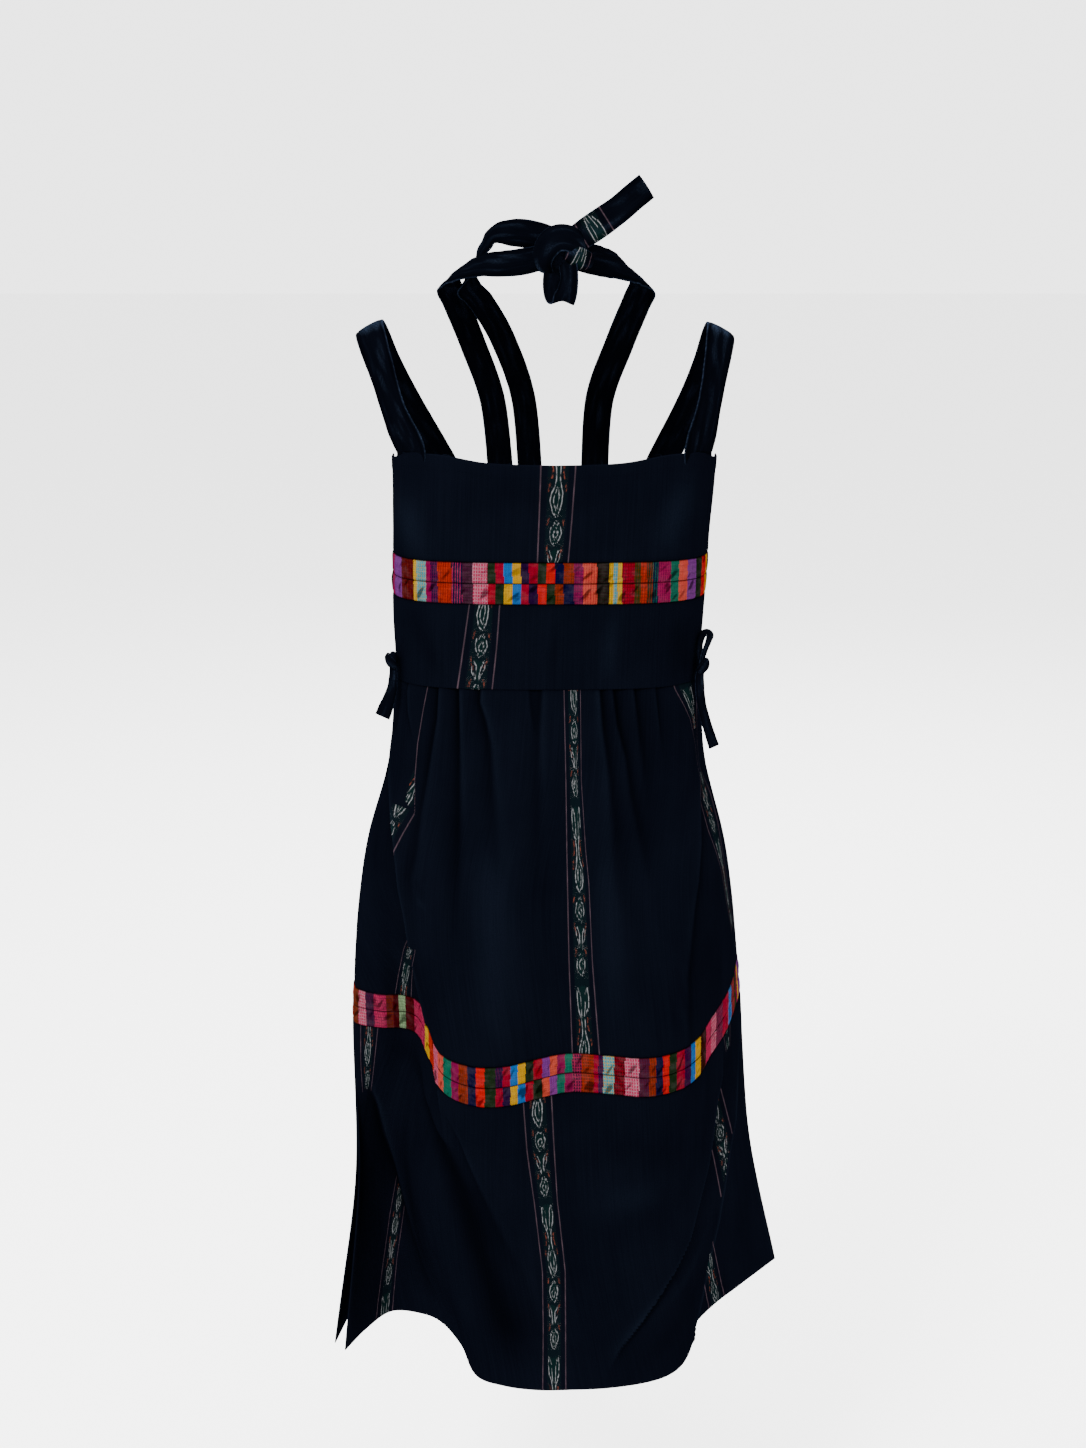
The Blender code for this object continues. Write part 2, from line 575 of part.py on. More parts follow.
def make_straps_and_ties(home, cutters):
    make_strap("shoulder_strap_left", LEFT_STRAP, BACK_STRAP_X[0], FRONT_STRAP_X[0], home)
    make_strap("shoulder_strap_right", RIGHT_STRAP, BACK_STRAP_X[1], FRONT_STRAP_X[1], home)
    room = make_knot("halter_knot", HALTER_KNOT, home, cutters)
    names = ("halter_tie_left_outer", "halter_tie_left_inner", "halter_tie_right")
    tables = (LEFT_OUTER_TIE, LEFT_INNER_TIE, RIGHT_TIE)
    for name, rows, x, half in zip(names, tables, FRONT_TIE_X, FRONT_TIE_HALF):
        enter(make_tie(name, rows, x, half, home), room)
    enter(make_free_strip("halter_tail", HALTER_TAIL, home), room)
    enter(make_free_strip("halter_loop", HALTER_LOOP, home), room)
    room = make_knot("side_knot_left", LEFT_SIDE_KNOT, home, cutters)
    enter(make_free_strip("side_tail_left", LEFT_SIDE_TAIL, home), room)
    room = make_knot("side_knot_right", RIGHT_SIDE_KNOT, home, cutters)
    enter(make_free_strip("side_tail_right", RIGHT_SIDE_TAIL, home), room)
    enter(make_free_strip("side_loop_right", RIGHT_SIDE_LOOP, home), room)


def main():
    for old in list(bpy.data.objects):
        bpy.data.objects.remove(old)
    home = collection("handwoven_dress")
    cutters = collection("room_for_knots")
    make_bodice(home)
    make_skirt(home)
    make_straps_and_ties(home, cutters)


main()
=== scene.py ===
"""A handwoven halter dress as it is worn, seen from its back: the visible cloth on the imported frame.

Every cloth panel, ribbon row, strap, tie and knot is a thin shell on the form of the solid that it
stands for, with its own folds, weave and dyed stripes. Metres, +Z up, and -Y is the wearer's back.
"""

import math

import bpy
import numpy as np
from bpy.props import FloatProperty, FloatVectorProperty, PointerProperty
from bpy.types import Operator, Panel, PropertyGroup
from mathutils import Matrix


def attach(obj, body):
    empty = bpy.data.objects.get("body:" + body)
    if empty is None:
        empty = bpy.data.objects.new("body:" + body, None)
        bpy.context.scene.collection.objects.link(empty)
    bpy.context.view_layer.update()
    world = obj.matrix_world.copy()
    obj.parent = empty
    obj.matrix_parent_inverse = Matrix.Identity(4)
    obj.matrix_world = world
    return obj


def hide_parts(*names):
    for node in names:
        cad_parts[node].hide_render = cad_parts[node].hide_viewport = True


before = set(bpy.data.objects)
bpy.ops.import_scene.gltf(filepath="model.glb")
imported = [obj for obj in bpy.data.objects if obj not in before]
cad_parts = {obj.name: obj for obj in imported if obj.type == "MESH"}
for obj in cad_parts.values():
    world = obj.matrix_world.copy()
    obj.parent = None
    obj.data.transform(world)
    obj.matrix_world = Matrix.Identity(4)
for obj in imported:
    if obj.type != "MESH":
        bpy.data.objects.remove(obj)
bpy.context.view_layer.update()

bl_info = {
    "name": "Handwoven halter dress",
    "version": (1, 0, 0),
    "blender": (4, 5, 0),
    "location": "3D Viewport > Sidebar > Dress",
    "description": "Builds a handwoven halter dress with ikat stripes and two colour bands",
    "category": "Object",
}

# How far each solid stops short of a seam, and the shares of it that the cloth leaves at level seams
# and at the sides
SEAM = 0.0004
SEAM_SHARE, SIDE_SHARE = 0.10, 0.02
# Heights of the edges and seams, from the tops of the shoulder straps
BAND_TOP, BAND_MIDDLE, BAND_BOTTOM = -0.2046, -0.2239, -0.2432
WAIST = -0.3250
SKIRT_BAND_TOP, SKIRT_BAND_MIDDLE, SKIRT_BAND_BOTTOM = -0.6550, -0.6735, -0.6920
HEM = -1.0000
SIDE_DROOP = 0.0050
WAIST_GAP = 0.0006
# The angles of the bodice's ring at the back and at the front
BACK_RING, FRONT_RING = (-90, 90), (90, 270)


def milli(table, *keep):
    """A table written in thousandths, as metres or shares. The columns in keep stay as they are."""
    return tuple(
        milli(item, *keep) if isinstance(item, tuple)
        else item if isinstance(item, str) or column in keep
        else item / 1000
        for column, item in enumerate(table)
    )


# The bodice in plan: height, left side x, right side x, depth of the back, depth of the front
SQUARENESS = 2.6
BODICE_SECTIONS = milli((
    (-400, -153, 149, 100, 105), (-325, -148, 144.8, 95, 100), (-260, -149, 148.5, 103, 113),
    (-195, -147.5, 151.5, 105.5, 125), (-115, -146.5, 157, 105, 108), (-50, -146.5, 157.5, 100, 90),
))
# Share of the half width, height of the edge
BACK_TOP_EDGE = milli((
    (0, -116.8), (400, -115), (740, -109.2), (900, -111.5), (960, -116.5), (1000, -119.5),
))
FRONT_TOP_EDGE = milli((
    (0, -164), (300, -156), (600, -150), (800, -150.5), (860, -153), (920, -164), (970, -188), (1000, -208),
))

# One row for each fold of the skirt: x and y at the hip, the colour band, below it, and the hem
SKIRT_LEVELS = (WAIST, -0.4250, -0.5000, -0.6735, -0.8400, HEM)
FLARE_BEGINS = (0.34, 0.45)
BACK_FOLDS = milli((
    (-180, 5.5, -199.5, -7, -192.5, -70, -204.5, -135), (-175.5, -23.5, -194, -28, -188, -52, -187, -98),
    (-165, -50, -170, -40, -166, -38, -163, -67), (-155, -68, -145, -42, -149, -50, -130, -72),
    (-146, -85, -129, -60, -139, -78, -108, -90), (-136, -99.5, -115, -118, -127, -108, -88, -126),
    (-120, -114.5, -99, -179, -106, -142, -71, -176), (-91, -128.5, -70, -206, -74, -179, -44, -193),
    (-59, -136.5, -39, -206, -39, -193, -10, -199.5), (-23.5, -140, -10, -190, -4, -190, 24, -199),
    (10.5, -140, 20, -177, 31, -186, 56, -196.5), (43.5, -138, 56, -182, 66, -183, 88, -190),
    (77, -130.5, 91, -188, 98, -176, 115, -177.5), (108, -116.5, 120, -175, 125, -156, 132.5, -157.5),
    (132, -97.5, 141, -148, 145, -128, 144, -125), (150, -73, 157, -102, 160, -94, 150, -90),
    (162, -43.5, 174, -55, 176, -58, 173, -54), (172.5, -12.5, 188, -5, 192.5, -18, 203, -18),
    (174.5, 19, 199, 50, 212, 26, 246.5, 33),
))
FRONT_FOLDS = milli((
    (174.5, 19, 199, 50, 211, 33, 238, 56), (166.5, 58.5, 200.5, 94, 204, 80, 225, 86),
    (143.5, 93.5, 196, 129, 195, 126, 209, 129), (112.5, 118.5, 165, 145, 166, 148, 172, 150),
    (75, 131.5, 128, 156, 131, 170, 138, 181), (37.5, 135.5, 85, 185, 88, 195, 95, 204),
    (0, 138, 40, 179, 42, 188, 46, 187), (-38.5, 135.5, -5, 172, -5, 180, -5, 180),
    (-77, 131.5, -50, 184, -52, 197, -56, 207), (-115.5, 118.5, -95, 168, -98, 180, -104, 186),
    (-146.5, 95.5, -135, 136, -140, 140, -150, 137), (-167, 63.5, -170, 95, -174, 88, -187, 78),
    (-177.5, 33, -190, 44, -198, 15, -193.5, 5), (-180, 5.5, -199.5, -7, -196, -62, -216, -123),
))

# Folded edges: depth, the side that the edge drops to (both for a round ridge or trough), how far
# its foot or its flanks reach, the lengths over which it opens and fades, and its path down the
# cloth as x and z
BACK_EDGES = milli((
    (2.2, "left", 7, 10, 40, ((-129.5, -310), (-134, -335), (-134, -355), (-127.5, -390))),
    (3.6, "left", 11, 10, 70, (
        (-102, -310), (-105.5, -358), (-111, -390), (-115.5, -418), (-121.5, -450), (-125, -480),
        (-131, -508), (-128.5, -532), (-123, -560),
    )),
    (4, "left", 13, 10, 130, ((-84, -310), (-83.5, -375), (-83.5, -465), (-86, -575))),
    (3.6, "left", 11, 10, 90, (
        (-62, -310), (-64, -340), (-59, -355), (-54.5, -377), (-52, -418), (-46, -505),
    )),
    (2.4, "left", 10, 12, 120, ((-5, -310), (-8.5, -362), (-9, -470), (-7.5, -540))),
    (1.8, "right", 8, 10, 30, ((-19.5, -310), (-17, -348), (-13, -375))),
    (3.6, "right", 11, 10, 120, (
        (45.5, -310), (50, -362), (55.5, -400), (60, -445), (63, -490), (69.5, -545),
    )),
    (3.6, "right", 11, 10, 120, (
        (57, -310), (63.5, -360), (72, -392), (76.5, -425), (84, -460), (93.5, -502), (97.5, -550),
    )),
    (3.4, "right", 11, 10, 80, ((77, -310), (85, -375), (90, -412), (95, -460))),
    (2.2, "right", 9, 10, 50, ((97.5, -310), (103, -358), (108, -400))),
    (7, "left", 26, 40, 60, (
        (-155, -385), (-155, -432), (-152.5, -465), (-148, -492), (-143.5, -522), (-136, -550), (-130, -587),
        (-125.5, -633), (-115.5, -665), (-105, -692), (-100, -745),
    )),
    (3.2, "right", 14, 60, 90, (
        (146.5, -380), (146.5, -448), (147, -485), (144, -515), (139, -540), (131.5, -595), (132.5, -638),
        (134, -710),
    )),
    (4.4, "left", 15, 40, 180, (
        (-183.5, -745), (-181.5, -758), (-175, -780), (-169, -812), (-158, -850), (-153.5, -870),
        (-142, -910), (-127.5, -948), (-110.5, -975), (-94, -1010),
    )),
    (5, "both", 24, 60, 60, (
        (-145.5, -695), (-128.5, -732), (-109.5, -752), (-88.5, -798), (-72, -860), (-46, -928), (-30, -990),
    )),
    (2, "left", 30, 60, 160, (
        (-103.5, -700), (-84, -735), (-64.5, -788), (-47, -830), (-17.5, -892), (5, -960),
    )),
    (4.4, "right", 20, 50, 60, (
        (173.5, -695), (174, -732), (168, -752), (163.5, -790), (159, -812), (150, -840), (140, -872),
        (127, -890), (112, -908), (88, -938), (69.5, -960), (56, -990),
    )),
    (-2.6, "both", 7, 60, 10, (
        (198, -720), (193.5, -768), (191.5, -808), (184, -830), (177.5, -867), (171.5, -900), (164.5, -925),
        (158.5, -955), (152.5, -985), (141, -1010),
    )),
))
FRONT_EDGES = milli((
    (2.8, "right", 9, 50, 110, ((125, -310), (133, -400), (138, -470))),
    (3.4, "right", 10, 50, 130, ((100, -310), (107, -390), (115, -490))),
    (3.6, "right", 11, 50, 140, ((74, -310), (79, -390), (84, -500))),
    (3, "right", 9, 50, 90, ((52, -310), (55, -370), (56, -430))),
    (1.6, "right", 9, 50, 80, ((20, -310), (19, -410))),
    (1.8, "left", 9, 50, 90, ((-12, -310), (-12, -420))),
    (3.2, "left", 10, 50, 120, ((-48, -310), (-51, -390), (-56, -450))),
    (3.6, "left", 11, 50, 140, ((-70, -310), (-77, -390), (-84, -510))),
    (3.4, "left", 9, 50, 120, ((-95, -310), (-104, -390), (-112, -480))),
    (2.6, "left", 8, 50, 80, ((-123, -310), (-132, -400))),
    (-2.4, "both", 12, 100, 80, ((150, -500), (162, -640), (170, -800))),
    (3, "both", 16, 100, 60, ((100, -600), (108, -760), (118, -960))),
    (-2.8, "both", 12, 100, 10, ((-60, -640), (-66, -800), (-74, -1010))),
    (2.6, "both", 15, 100, 60, ((-115, -620), (-125, -800), (-130, -960))),
))
DROPS_TO = {"left": -1, "right": 1, "both": 0}
# A folded edge's crown: its width and its height beside the drop. How sharp the edge is, and how much
# it softens down the cloth where it fades over more than this
EDGE_CROWN, EDGE_RISE = 0.0050, 0.4
EDGE_SHARP, EDGE_SOFTENS, SOFTENS_FROM = 0.0006, 0.0024, 0.065
# How a fold's crest catches the light and its foot lies in the dark, and how wide both are
EDGE_FULL, EDGE_MOST = 0.0036, 1.3
CREST_LIGHT, CREST_WIDTH = 0.70, 0.0024
FOOT_DARK, FOOT_SHADE, FOOT_WIDTH = 0.85, 0.45, 0.0028
RIDGE_TONE, RIDGE_NARROWS = 0.50, 0.35
# Soft creases: the depth that counts as full, and how strongly their painted light and shade show on the skirt
RIDGE_FULL, CREASE_TONE = 0.0030, 0.35
# Seams: how dark and how wide the shade painted at them lies, how far their puckers reach, and how wide their
# fold is
SEAM_DARK, SEAM_WIDTH = 0.80, 0.0010
PUCKER_REACH, SEAM_FOLD = 0.006, 0.0012
# Waves of the small creases, as the longest and the shortest, after how far a panel's count down it
BODICE_WAVES, SKIRT_WAVES = (1.0, 0.085, 0.035), (0.6, 0.120, 0.045)
PUCKER_WAVES, LEAN_WAVES, RIPPLE_WAVES = (0.016, 0.006), (0.018, 0.006), (0.030, 0.010)
PULLED_WAVES, LIT_AND_NAPPED_WAVES, DENT_WAVES = (0.012, 0.005), (0.020, 0.008), (3.0, 1.2)

# Soft troughs, or ridges where the depth is negative: x and z of both ends, depth, half width
BACK_BODICE_CREASES = milli((
    (-135, -150, -120, -200, -0.8, 14), (-60, -140, 40, -150, 0.7, 16), (125, -135, 105, -195, -0.9, 13),
    (-130, -255, -100, -320, 0.8, 10), (10, -262, -2, -318, 0.5, 6), (60, -255, 52, -318, -0.6, 8),
    (120, -262, 128, -320, 0.8, 9),
))
FRONT_BODICE_CREASES = milli((
    (-100, -170, -60, -300, -1.2, 14), (95, -175, 70, -300, -1.3, 13), (-20, -190, 15, -310, 1, 12),
    (128, -215, 120, -310, 1.2, 10), (-130, -215, -118, -310, 1, 10), (-50, -165, 50, -172, 0.8, 12),
))
BACK_CREASES = milli((
    (-89, -430, -92, -590, 1.2, 14), (-55, -440, -50, -620, -1.4, 16), (-10, -420, -8, -590, 1, 12),
    (70, -460, 90, -600, 1.4, 11), (52, -460, 62, -620, -1.2, 13), (-127, -508, -120, -516, 0.8, 2.8),
    (-124, -522, -115, -530, -0.8, 2.6), (113, -600, 124, -648, 0.9, 3), (121, -585, 133, -635, 0.8, 2.6),
    (45, -745, 115, -760, 1.8, 18), (50, -810, 105, -795, -1.2, 16), (152, -892, 65, -962, -2, 10),
    (160, -930, 80, -990, 1.4, 12), (-30, -900, 20, -980, 1, 12), (-50, -730, 30, -770, 1.2, 15),
))
FRONT_CREASES = milli((
    (10, -450, 8, -620, 1.4, 12), (-30, -450, -28, -600, -1.2, 12), (50, -740, -30, -760, 1.6, 16),
    (-100, -880, -20, -930, 1.4, 14), (60, -900, 140, -950, -1.4, 12),
))

# The ikat stripes: the height that its figures start from, then for each height the x of the left
# border line, the middle and the right border line, what shows: 1 all, 0 its lines, -1 nothing, and,
# where a fold hides part of the stripe, the x that it shows between
NO_FIGURE, NO_STRIPE, STRIPE_REACH = -9.0, 9.0, 8.0
YOKE_UPPER_STRIPES = milli((
    (82, ((-115, -7, 9, 24, 1), (-165, -8.8, 6.5, 20.5, 1), (-205, -10.5, 4.2, 17.2, 1))),
), 4)
YOKE_LOWER_STRIPES = milli((
    (188, ((-243, -72.2, -59.2, -44.6, 1), (-285, -78.5, -62.2, -48, 1), (-330, -85.5, -68, -53, 1))),
), 4)
BACK_UPPER_STRIPES = milli((
    (588, (
        (-320, 13.8, 23.5, 29, 1), (-408, 15.7, 24.5, 30, 1), (-470, 16.6, 26.8, 34, 1),
        (-500, 17.2, 28.8, 37, 1), (-568, 18.6, 30, 40.2, 1), (-660, 22, 33.5, 47.5, 1),
    )),
    (450, (
        (-315, -300, -120, -110.5, 0), (-350, -300, -127, -117.8, 0), (-385, -300, -133.5, -124, 0),
        (-420, -300, -136.8, -127.3, 0), (-450, -300, -136.8, -127.3, 0), (-450.1, -300, -136.8, -127.3, -1),
        (-569.9, -134.5, -130, -125.5, -1), (-570, -134.5, -130, -125.5, 1), (-597, -142.2, -137, -131, 1),
        (-633, -150, -142.5, -135.5, 1), (-660, -155, -146.5, -137.5, 1),
    )),
    (380, (
        (-400, -126.8, -113, -99, 1, -155, -126.2), (-420, -138.4, -124, -110, 1, -155, -127.3),
        (-445, -152.6, -139, -124.3, 1, -154, -127.3), (-470, -167, -152.5, -138.4, 1, -152, -125),
        (-490, -178.7, -163.5, -148.5, 1, -148.5, -125), (-490.1, -178.7, -163.5, -148.5, -1, -148.5, -125),
    )),
    (330, (
        (-315, 113, 126.5, 140, 1), (-332, 118.2, 129, 140, 1), (-350, 127.6, 134.5, 140.8, 1),
        (-365, 134, 137.8, 141.4, 1), (-387, 139, 140.4, 141.8, 0), (-415, 143, 143.8, 144.6, 0),
        (-428, 145.9, 147.6, 149.3, 1), (-450, 146.2, 152, 158, 1), (-478, 154, 160, 165.5, 1),
        (-500, 162, 166, 169.5, 1), (-525, 169.5, 171.5, 174, 1), (-560, 175.8, 177.5, 179.5, 1),
        (-600, 184, 185.5, 187, 1), (-600.1, 184, 185.5, 187, -1),
    )),
), 4)
BACK_LOWER_STRIPES = milli((
    (640, (
        (-690, -24, -11.5, 2, 1), (-745, -20.6, -8.2, 4.6, 1), (-800, -14, -3, 7.8, 1),
        (-875, -6.2, 4, 15.5, 1), (-935, -5.5, 4.8, 16, 1), (-1000, -6, 4.5, 16.3, 1),
    )),
    (655, (
        (-690, -190, -181, -172, 1), (-730, -191, -184, -177, 1), (-762, -190, -185.5, -181.2, 1),
        (-762.1, -190, -185.5, -181.2, -1),
    )),
    (655, (
        (-844.9, -153, -147, -141, -1, -300, -159), (-845, -153, -147, -141, 1, -300, -159),
        (-862, -157.5, -151, -144.8, 1, -300, -155), (-900, -164.8, -157.5, -150.5, 1, -300, -145),
        (-945, -171.5, -164.5, -157.5, 1, -300, -129), (-1000, -179, -171, -163, 1, -300, -100),
    )),
    (700, ((-690, 173.5, 178, 183, 1), (-715, 178, 180.5, 183.5, 1), (-715.1, 178, 180.5, 183.5, -1))),
    (700, (
        (-734.9, 148, 158, 168.5, -1, 173.5, 198), (-735, 148, 158, 168.5, 1, 173.5, 198),
        (-750, 151, 162, 172.5, 1, 168.5, 196), (-790, 159.8, 171, 182.2, 1, 163.5, 192.5),
        (-815, 165, 176.5, 188.4, 1, 158.5, 189.5), (-830, 168, 180, 192, 1, 153, 184),
        (-870, 175.7, 188, 201, 1, 145, 177.2), (-870.1, 175.7, 188, 201, -1, 145, 177.2),
    )),
    (760, (
        (-914.9, 151.5, 159, 167, -1, 167.2, 300), (-915, 151.5, 159, 167, 1, 167.2, 300),
        (-925, 153, 161, 169, 1, 164.5, 300), (-948, 157, 165.5, 173.5, 1, 159.8, 300),
        (-1000, 166, 175, 184, 1, 150, 300),
    )),
), 4)
FRONT_UPPER_STRIPES = milli((
    (500, ((-320, -36, -26, -16, 1), (-660, -42, -27, -11, 1))),
    (420, ((-320, 96, 104, 112, 1), (-660, 130, 143, 155, 1))),
), 4)
FRONT_LOWER_STRIPES = milli((
    (600, ((-690, 22, 37, 52, 1), (-1000, 20, 37, 54, 1))),
    (520, ((-690, -150, -137, -124, 1), (-1000, -160, -145, -131, 1))),
), 4)
FRONT_BODICE_STRIPES = milli(((150, ((-140, 20, 35, 50, 1), (-330, 20, 35, 50, 1))),), 4)

# One repeat of the ikat figure, charted: how far along, and the distance from the middle
# as a share of the way to the border line. 1000 leaves the line out
IKAT_REPEAT = 0.160
OUTLINE = milli((
    (0, 1000), (28, 1000), (30, 420), (80, 460), (140, 420), (190, 220), (225, 130), (290, 110), (320, 170),
    (370, 330), (420, 360), (470, 220), (500, 30), (502, 1000), (528, 1000), (530, 20), (560, 280),
    (600, 380), (640, 240), (662, 20), (664, 1000), (690, 1000), (692, 320), (730, 140), (790, 100),
    (812, 120), (814, 1000), (838, 1000), (840, 50), (880, 320), (915, 340), (955, 160), (970, 30),
    (972, 1000), (1000, 1000),
))
INNER_LINE = milli((
    (0, 1000), (28, 1000), (30, 360), (70, 200), (140, 150), (180, 120), (200, 90), (202, 1000), (338, 1000),
    (340, 30), (390, 160), (430, 140), (465, 20), (467, 1000), (568, 1000), (570, 20), (600, 170), (630, 20),
    (632, 1000), (708, 1000), (710, 400), (750, 360), (775, 220), (800, 140), (802, 1000), (873, 1000),
    (875, 20), (905, 160), (940, 20), (942, 1000), (1000, 1000),
))
RUST_LINE = milli((
    (0, 1000), (208, 1000), (210, 340), (250, 300), (290, 380), (292, 1000), (318, 1000), (320, 460),
    (360, 520), (362, 1000), (508, 1000), (510, 440), (550, 500), (552, 1000), (668, 1000), (670, 500),
    (700, 460), (740, 300), (742, 1000), (808, 1000), (810, 360), (850, 460), (852, 1000), (1000, 1000),
))

# How much deeper a yarn is for the bright stage, and a dye's depth and saturation beside it
LAMP_SHARE = 0.44
DYE_DEPTH, DYE_POWER = 0.56, 1.4


def shade(red, green, blue):
    """A colour given as a screen shows it, in 0 to 255, as Blender's linear numbers."""
    return tuple(((c / 255 + 0.055) / 1.055) ** 2.4 if c > 10 else c / 255 / 12.92 for c in (red, green, blue))


def yarn(red, green, blue):
    """The same, deeper by as much as the stage is brighter than a screen's white."""
    return tuple(LAMP_SHARE * c for c in shade(red, green, blue))


def dyed(red, green, blue):
    """A dyed yarn's colour, also more saturated than a screen shows it."""
    return tuple(DYE_DEPTH * LAMP_SHARE * c**DYE_POWER for c in shade(red, green, blue))


# The dyed yarns of the colour bands
DYES = {key: dyed(*shown) for key, shown in {
    "lilac": (164, 92, 176), "dark_red": (122, 26, 44), "turquoise": (98, 190, 204), "sky": (34, 140, 214),
    "yellow": (240, 196, 30), "magenta": (172, 26, 112), "purple": (72, 26, 92), "orange": (212, 74, 38),
    "rust": (158, 74, 40), "navy": (26, 34, 92), "mauve": (112, 58, 92), "pink": (222, 78, 128),
    "salmon": (236, 118, 98), "green": (52, 78, 52), "olive": (84, 92, 44), "crimson": (190, 14, 70),
    "red": (230, 34, 40), "teal": (14, 146, 124), "brown": (66, 42, 40), "pale": (178, 204, 164),
    "white": (232, 196, 206), "black": (24, 20, 30),
}.items()}

# The ribbon's blocks: right edge in mm of x, ground, thread lines, then how strongly the lines run
# down the block and across it, in tenths
LEFT_BLOCKS = (
    (-175, "crimson", "red", 3, 2), (-163, "green", "brown", 3, 2), (-152, "magenta", "pink", 5, 3),
    (-136.5, "lilac", "purple", 3, 2), (-124.5, "dark_red", "rust", 7, 1), (-121.5, "yellow", "pale", 3, 1),
    (-112.5, "turquoise", "yellow", 6, 5), (-108, "magenta", "crimson", 3, 2),
    (-101.5, "purple", "magenta", 6, 3), (-88.5, "orange", "dark_red", 7, 2), (-79, "navy", "pink", 9, 0),
    (-69, "mauve", "brown", 5, 7), (-55.5, "pink", "white", 7, 7),
)
MIDDLE_BLOCKS = (
    (-48.5, "green", "olive", 2, 1), (-40.8, "crimson", "magenta", 2, 1), (-33, "sky", "turquoise", 2, 1),
    (-25.2, "yellow", "orange", 2, 1), (-18.2, "purple", "black", 2, 2), (-10.1, "crimson", "purple", 2, 1),
    (-2.2, "green", "brown", 2, 1), (5.5, "red", "orange", 2, 1), (13.3, "navy", "purple", 2, 1),
    (22.8, "rust", "orange", 5, 4),
)
MIDDLE_BLOCKS_TURNED = (
    (-48.5, "crimson", "red", 2, 1), (-40.8, "green", "brown", 2, 1), (-33, "yellow", "orange", 2, 1),
    (-25.2, "sky", "turquoise", 2, 1), (-18.2, "crimson", "magenta", 2, 1), (-10.1, "purple", "black", 2, 2),
    (-2.2, "red", "orange", 2, 1), (5.5, "green", "olive", 2, 1), (13.3, "rust", "orange", 5, 4),
    (22.8, "navy", "purple", 2, 1),
)
RIGHT_BLOCKS = (
    (30.8, "magenta", "navy", 5, 6), (43.5, "salmon", "crimson", 8, 1), (54.5, "brown", "green", 5, 6),
    (58.5, "yellow", "olive", 4, 2), (62, "turquoise", "yellow", 4, 3), (66.3, "yellow", "pale", 4, 2),
    (77.5, "crimson", "black", 6, 5), (83.5, "olive", "rust", 7, 2), (89, "orange", "brown", 7, 3),
    (94.5, "green", "orange", 7, 2), (99.5, "navy", "teal", 8, 1), (111.5, "magenta", "pink", 6, 3),
    (119, "teal", "green", 2, 1), (127.5, "salmon", "pink", 3, 1), (136, "lilac", "purple", 2, 2),
    (144.5, "green", "brown", 3, 2), (157, "red", "crimson", 2, 1), (166, "yellow", "orange", 3, 2),
    (178, "purple", "magenta", 4, 2), (999, "pink", "white", 5, 5),
)
SKIRT_LEFT_BLOCKS = (
    (-250, "yellow", "orange", 3, 2), (-238, "green", "brown", 4, 2), (-226, "magenta", "pink", 5, 3),
    (-213, "purple", "navy", 4, 2), (-203, "salmon", "rust", 5, 4), (-192.5, "rust", "green", 4, 4),
    (-184, "pink", "white", 7, 7), (-175.5, "mauve", "navy", 7, 5), (-163, "pink", "mauve", 6, 8),
    (-156, "rust", "mauve", 6, 6), (-150.5, "dark_red", "brown", 6, 3), (-143.5, "pale", "green", 4, 5),
    (-134, "dark_red", "brown", 5, 4), (-121, "pink", "dark_red", 6, 7), (-115, "yellow", "olive", 2, 2),
    (-108.5, "orange", "crimson", 3, 2), (-103.5, "pink", "white", 5, 4), (-98, "salmon", "pink", 2, 1),
    (-90, "teal", "green", 2, 1), (-83, "magenta", "mauve", 4, 2), (-74.5, "rust", "orange", 5, 3),
    (-67, "navy", "purple", 2, 1), (-59, "red", "orange", 2, 1), (-49, "green", "olive", 2, 1),
)
SKIRT_MIDDLE_BLOCKS = (
    (-42.5, "purple", "magenta", 3, 1), (-35.5, "crimson", "magenta", 2, 1), (-29, "sky", "turquoise", 2, 1),
    (-22, "yellow", "orange", 2, 1), (-14.7, "green", "brown", 2, 1), (-6.5, "crimson", "red", 2, 1),
    (0.5, "lilac", "purple", 3, 1), (7.5, "salmon", "orange", 3, 3), (14.7, "magenta", "crimson", 2, 1),
    (21.6, "teal", "green", 2, 1),
)
SKIRT_MIDDLE_BLOCKS_TURNED = (
    (-42.5, "crimson", "magenta", 2, 1), (-35.5, "purple", "navy", 3, 1), (-29, "yellow", "orange", 2, 1),
    (-22, "sky", "turquoise", 2, 1), (-14.7, "crimson", "red", 2, 1), (-6.5, "green", "brown", 2, 1),
    (0.5, "salmon", "orange", 3, 3), (7.5, "lilac", "magenta", 3, 1), (14.7, "teal", "green", 2, 1),
    (21.6, "magenta", "crimson", 2, 1),
)
SKIRT_RIGHT_BLOCKS = (
    (30.4, "mauve", "pink", 8, 7), (41.9, "rust", "orange", 6, 8), (46, "crimson", "magenta", 4, 3),
    (50.6, "purple", "magenta", 4, 3), (60.7, "turquoise", "yellow", 7, 8),
    (70.8, "dark_red", "crimson", 6, 8), (83.7, "pink", "white", 7, 8), (92.9, "mauve", "dark_red", 6, 4),
    (99.4, "rust", "orange", 6, 3), (105.8, "navy", "purple", 2, 1), (111.8, "red", "orange", 2, 1),
    (119, "green", "olive", 2, 1), (127, "crimson", "magenta", 2, 1), (133.5, "purple", "magenta", 3, 1),
    (138, "sky", "turquoise", 2, 1), (144, "yellow", "orange", 2, 2), (150.5, "brown", "rust", 4, 3),
    (157, "pink", "crimson", 6, 4), (163.5, "pink", "white", 6, 6), (172, "mauve", "pink", 6, 4),
    (180, "crimson", "pink", 6, 4), (185, "sky", "pale", 4, 3), (193, "dark_red", "salmon", 5, 3),
    (205, "rust", "pink", 5, 5), (217, "green", "olive", 4, 2), (229, "magenta", "crimson", 5, 3),
    (239, "yellow", "orange", 3, 2), (999, "lilac", "purple", 4, 2),
)
# The share of the half width past which the ribbon's blocks are counted along the cloth
RIBBON_TURN = 0.92
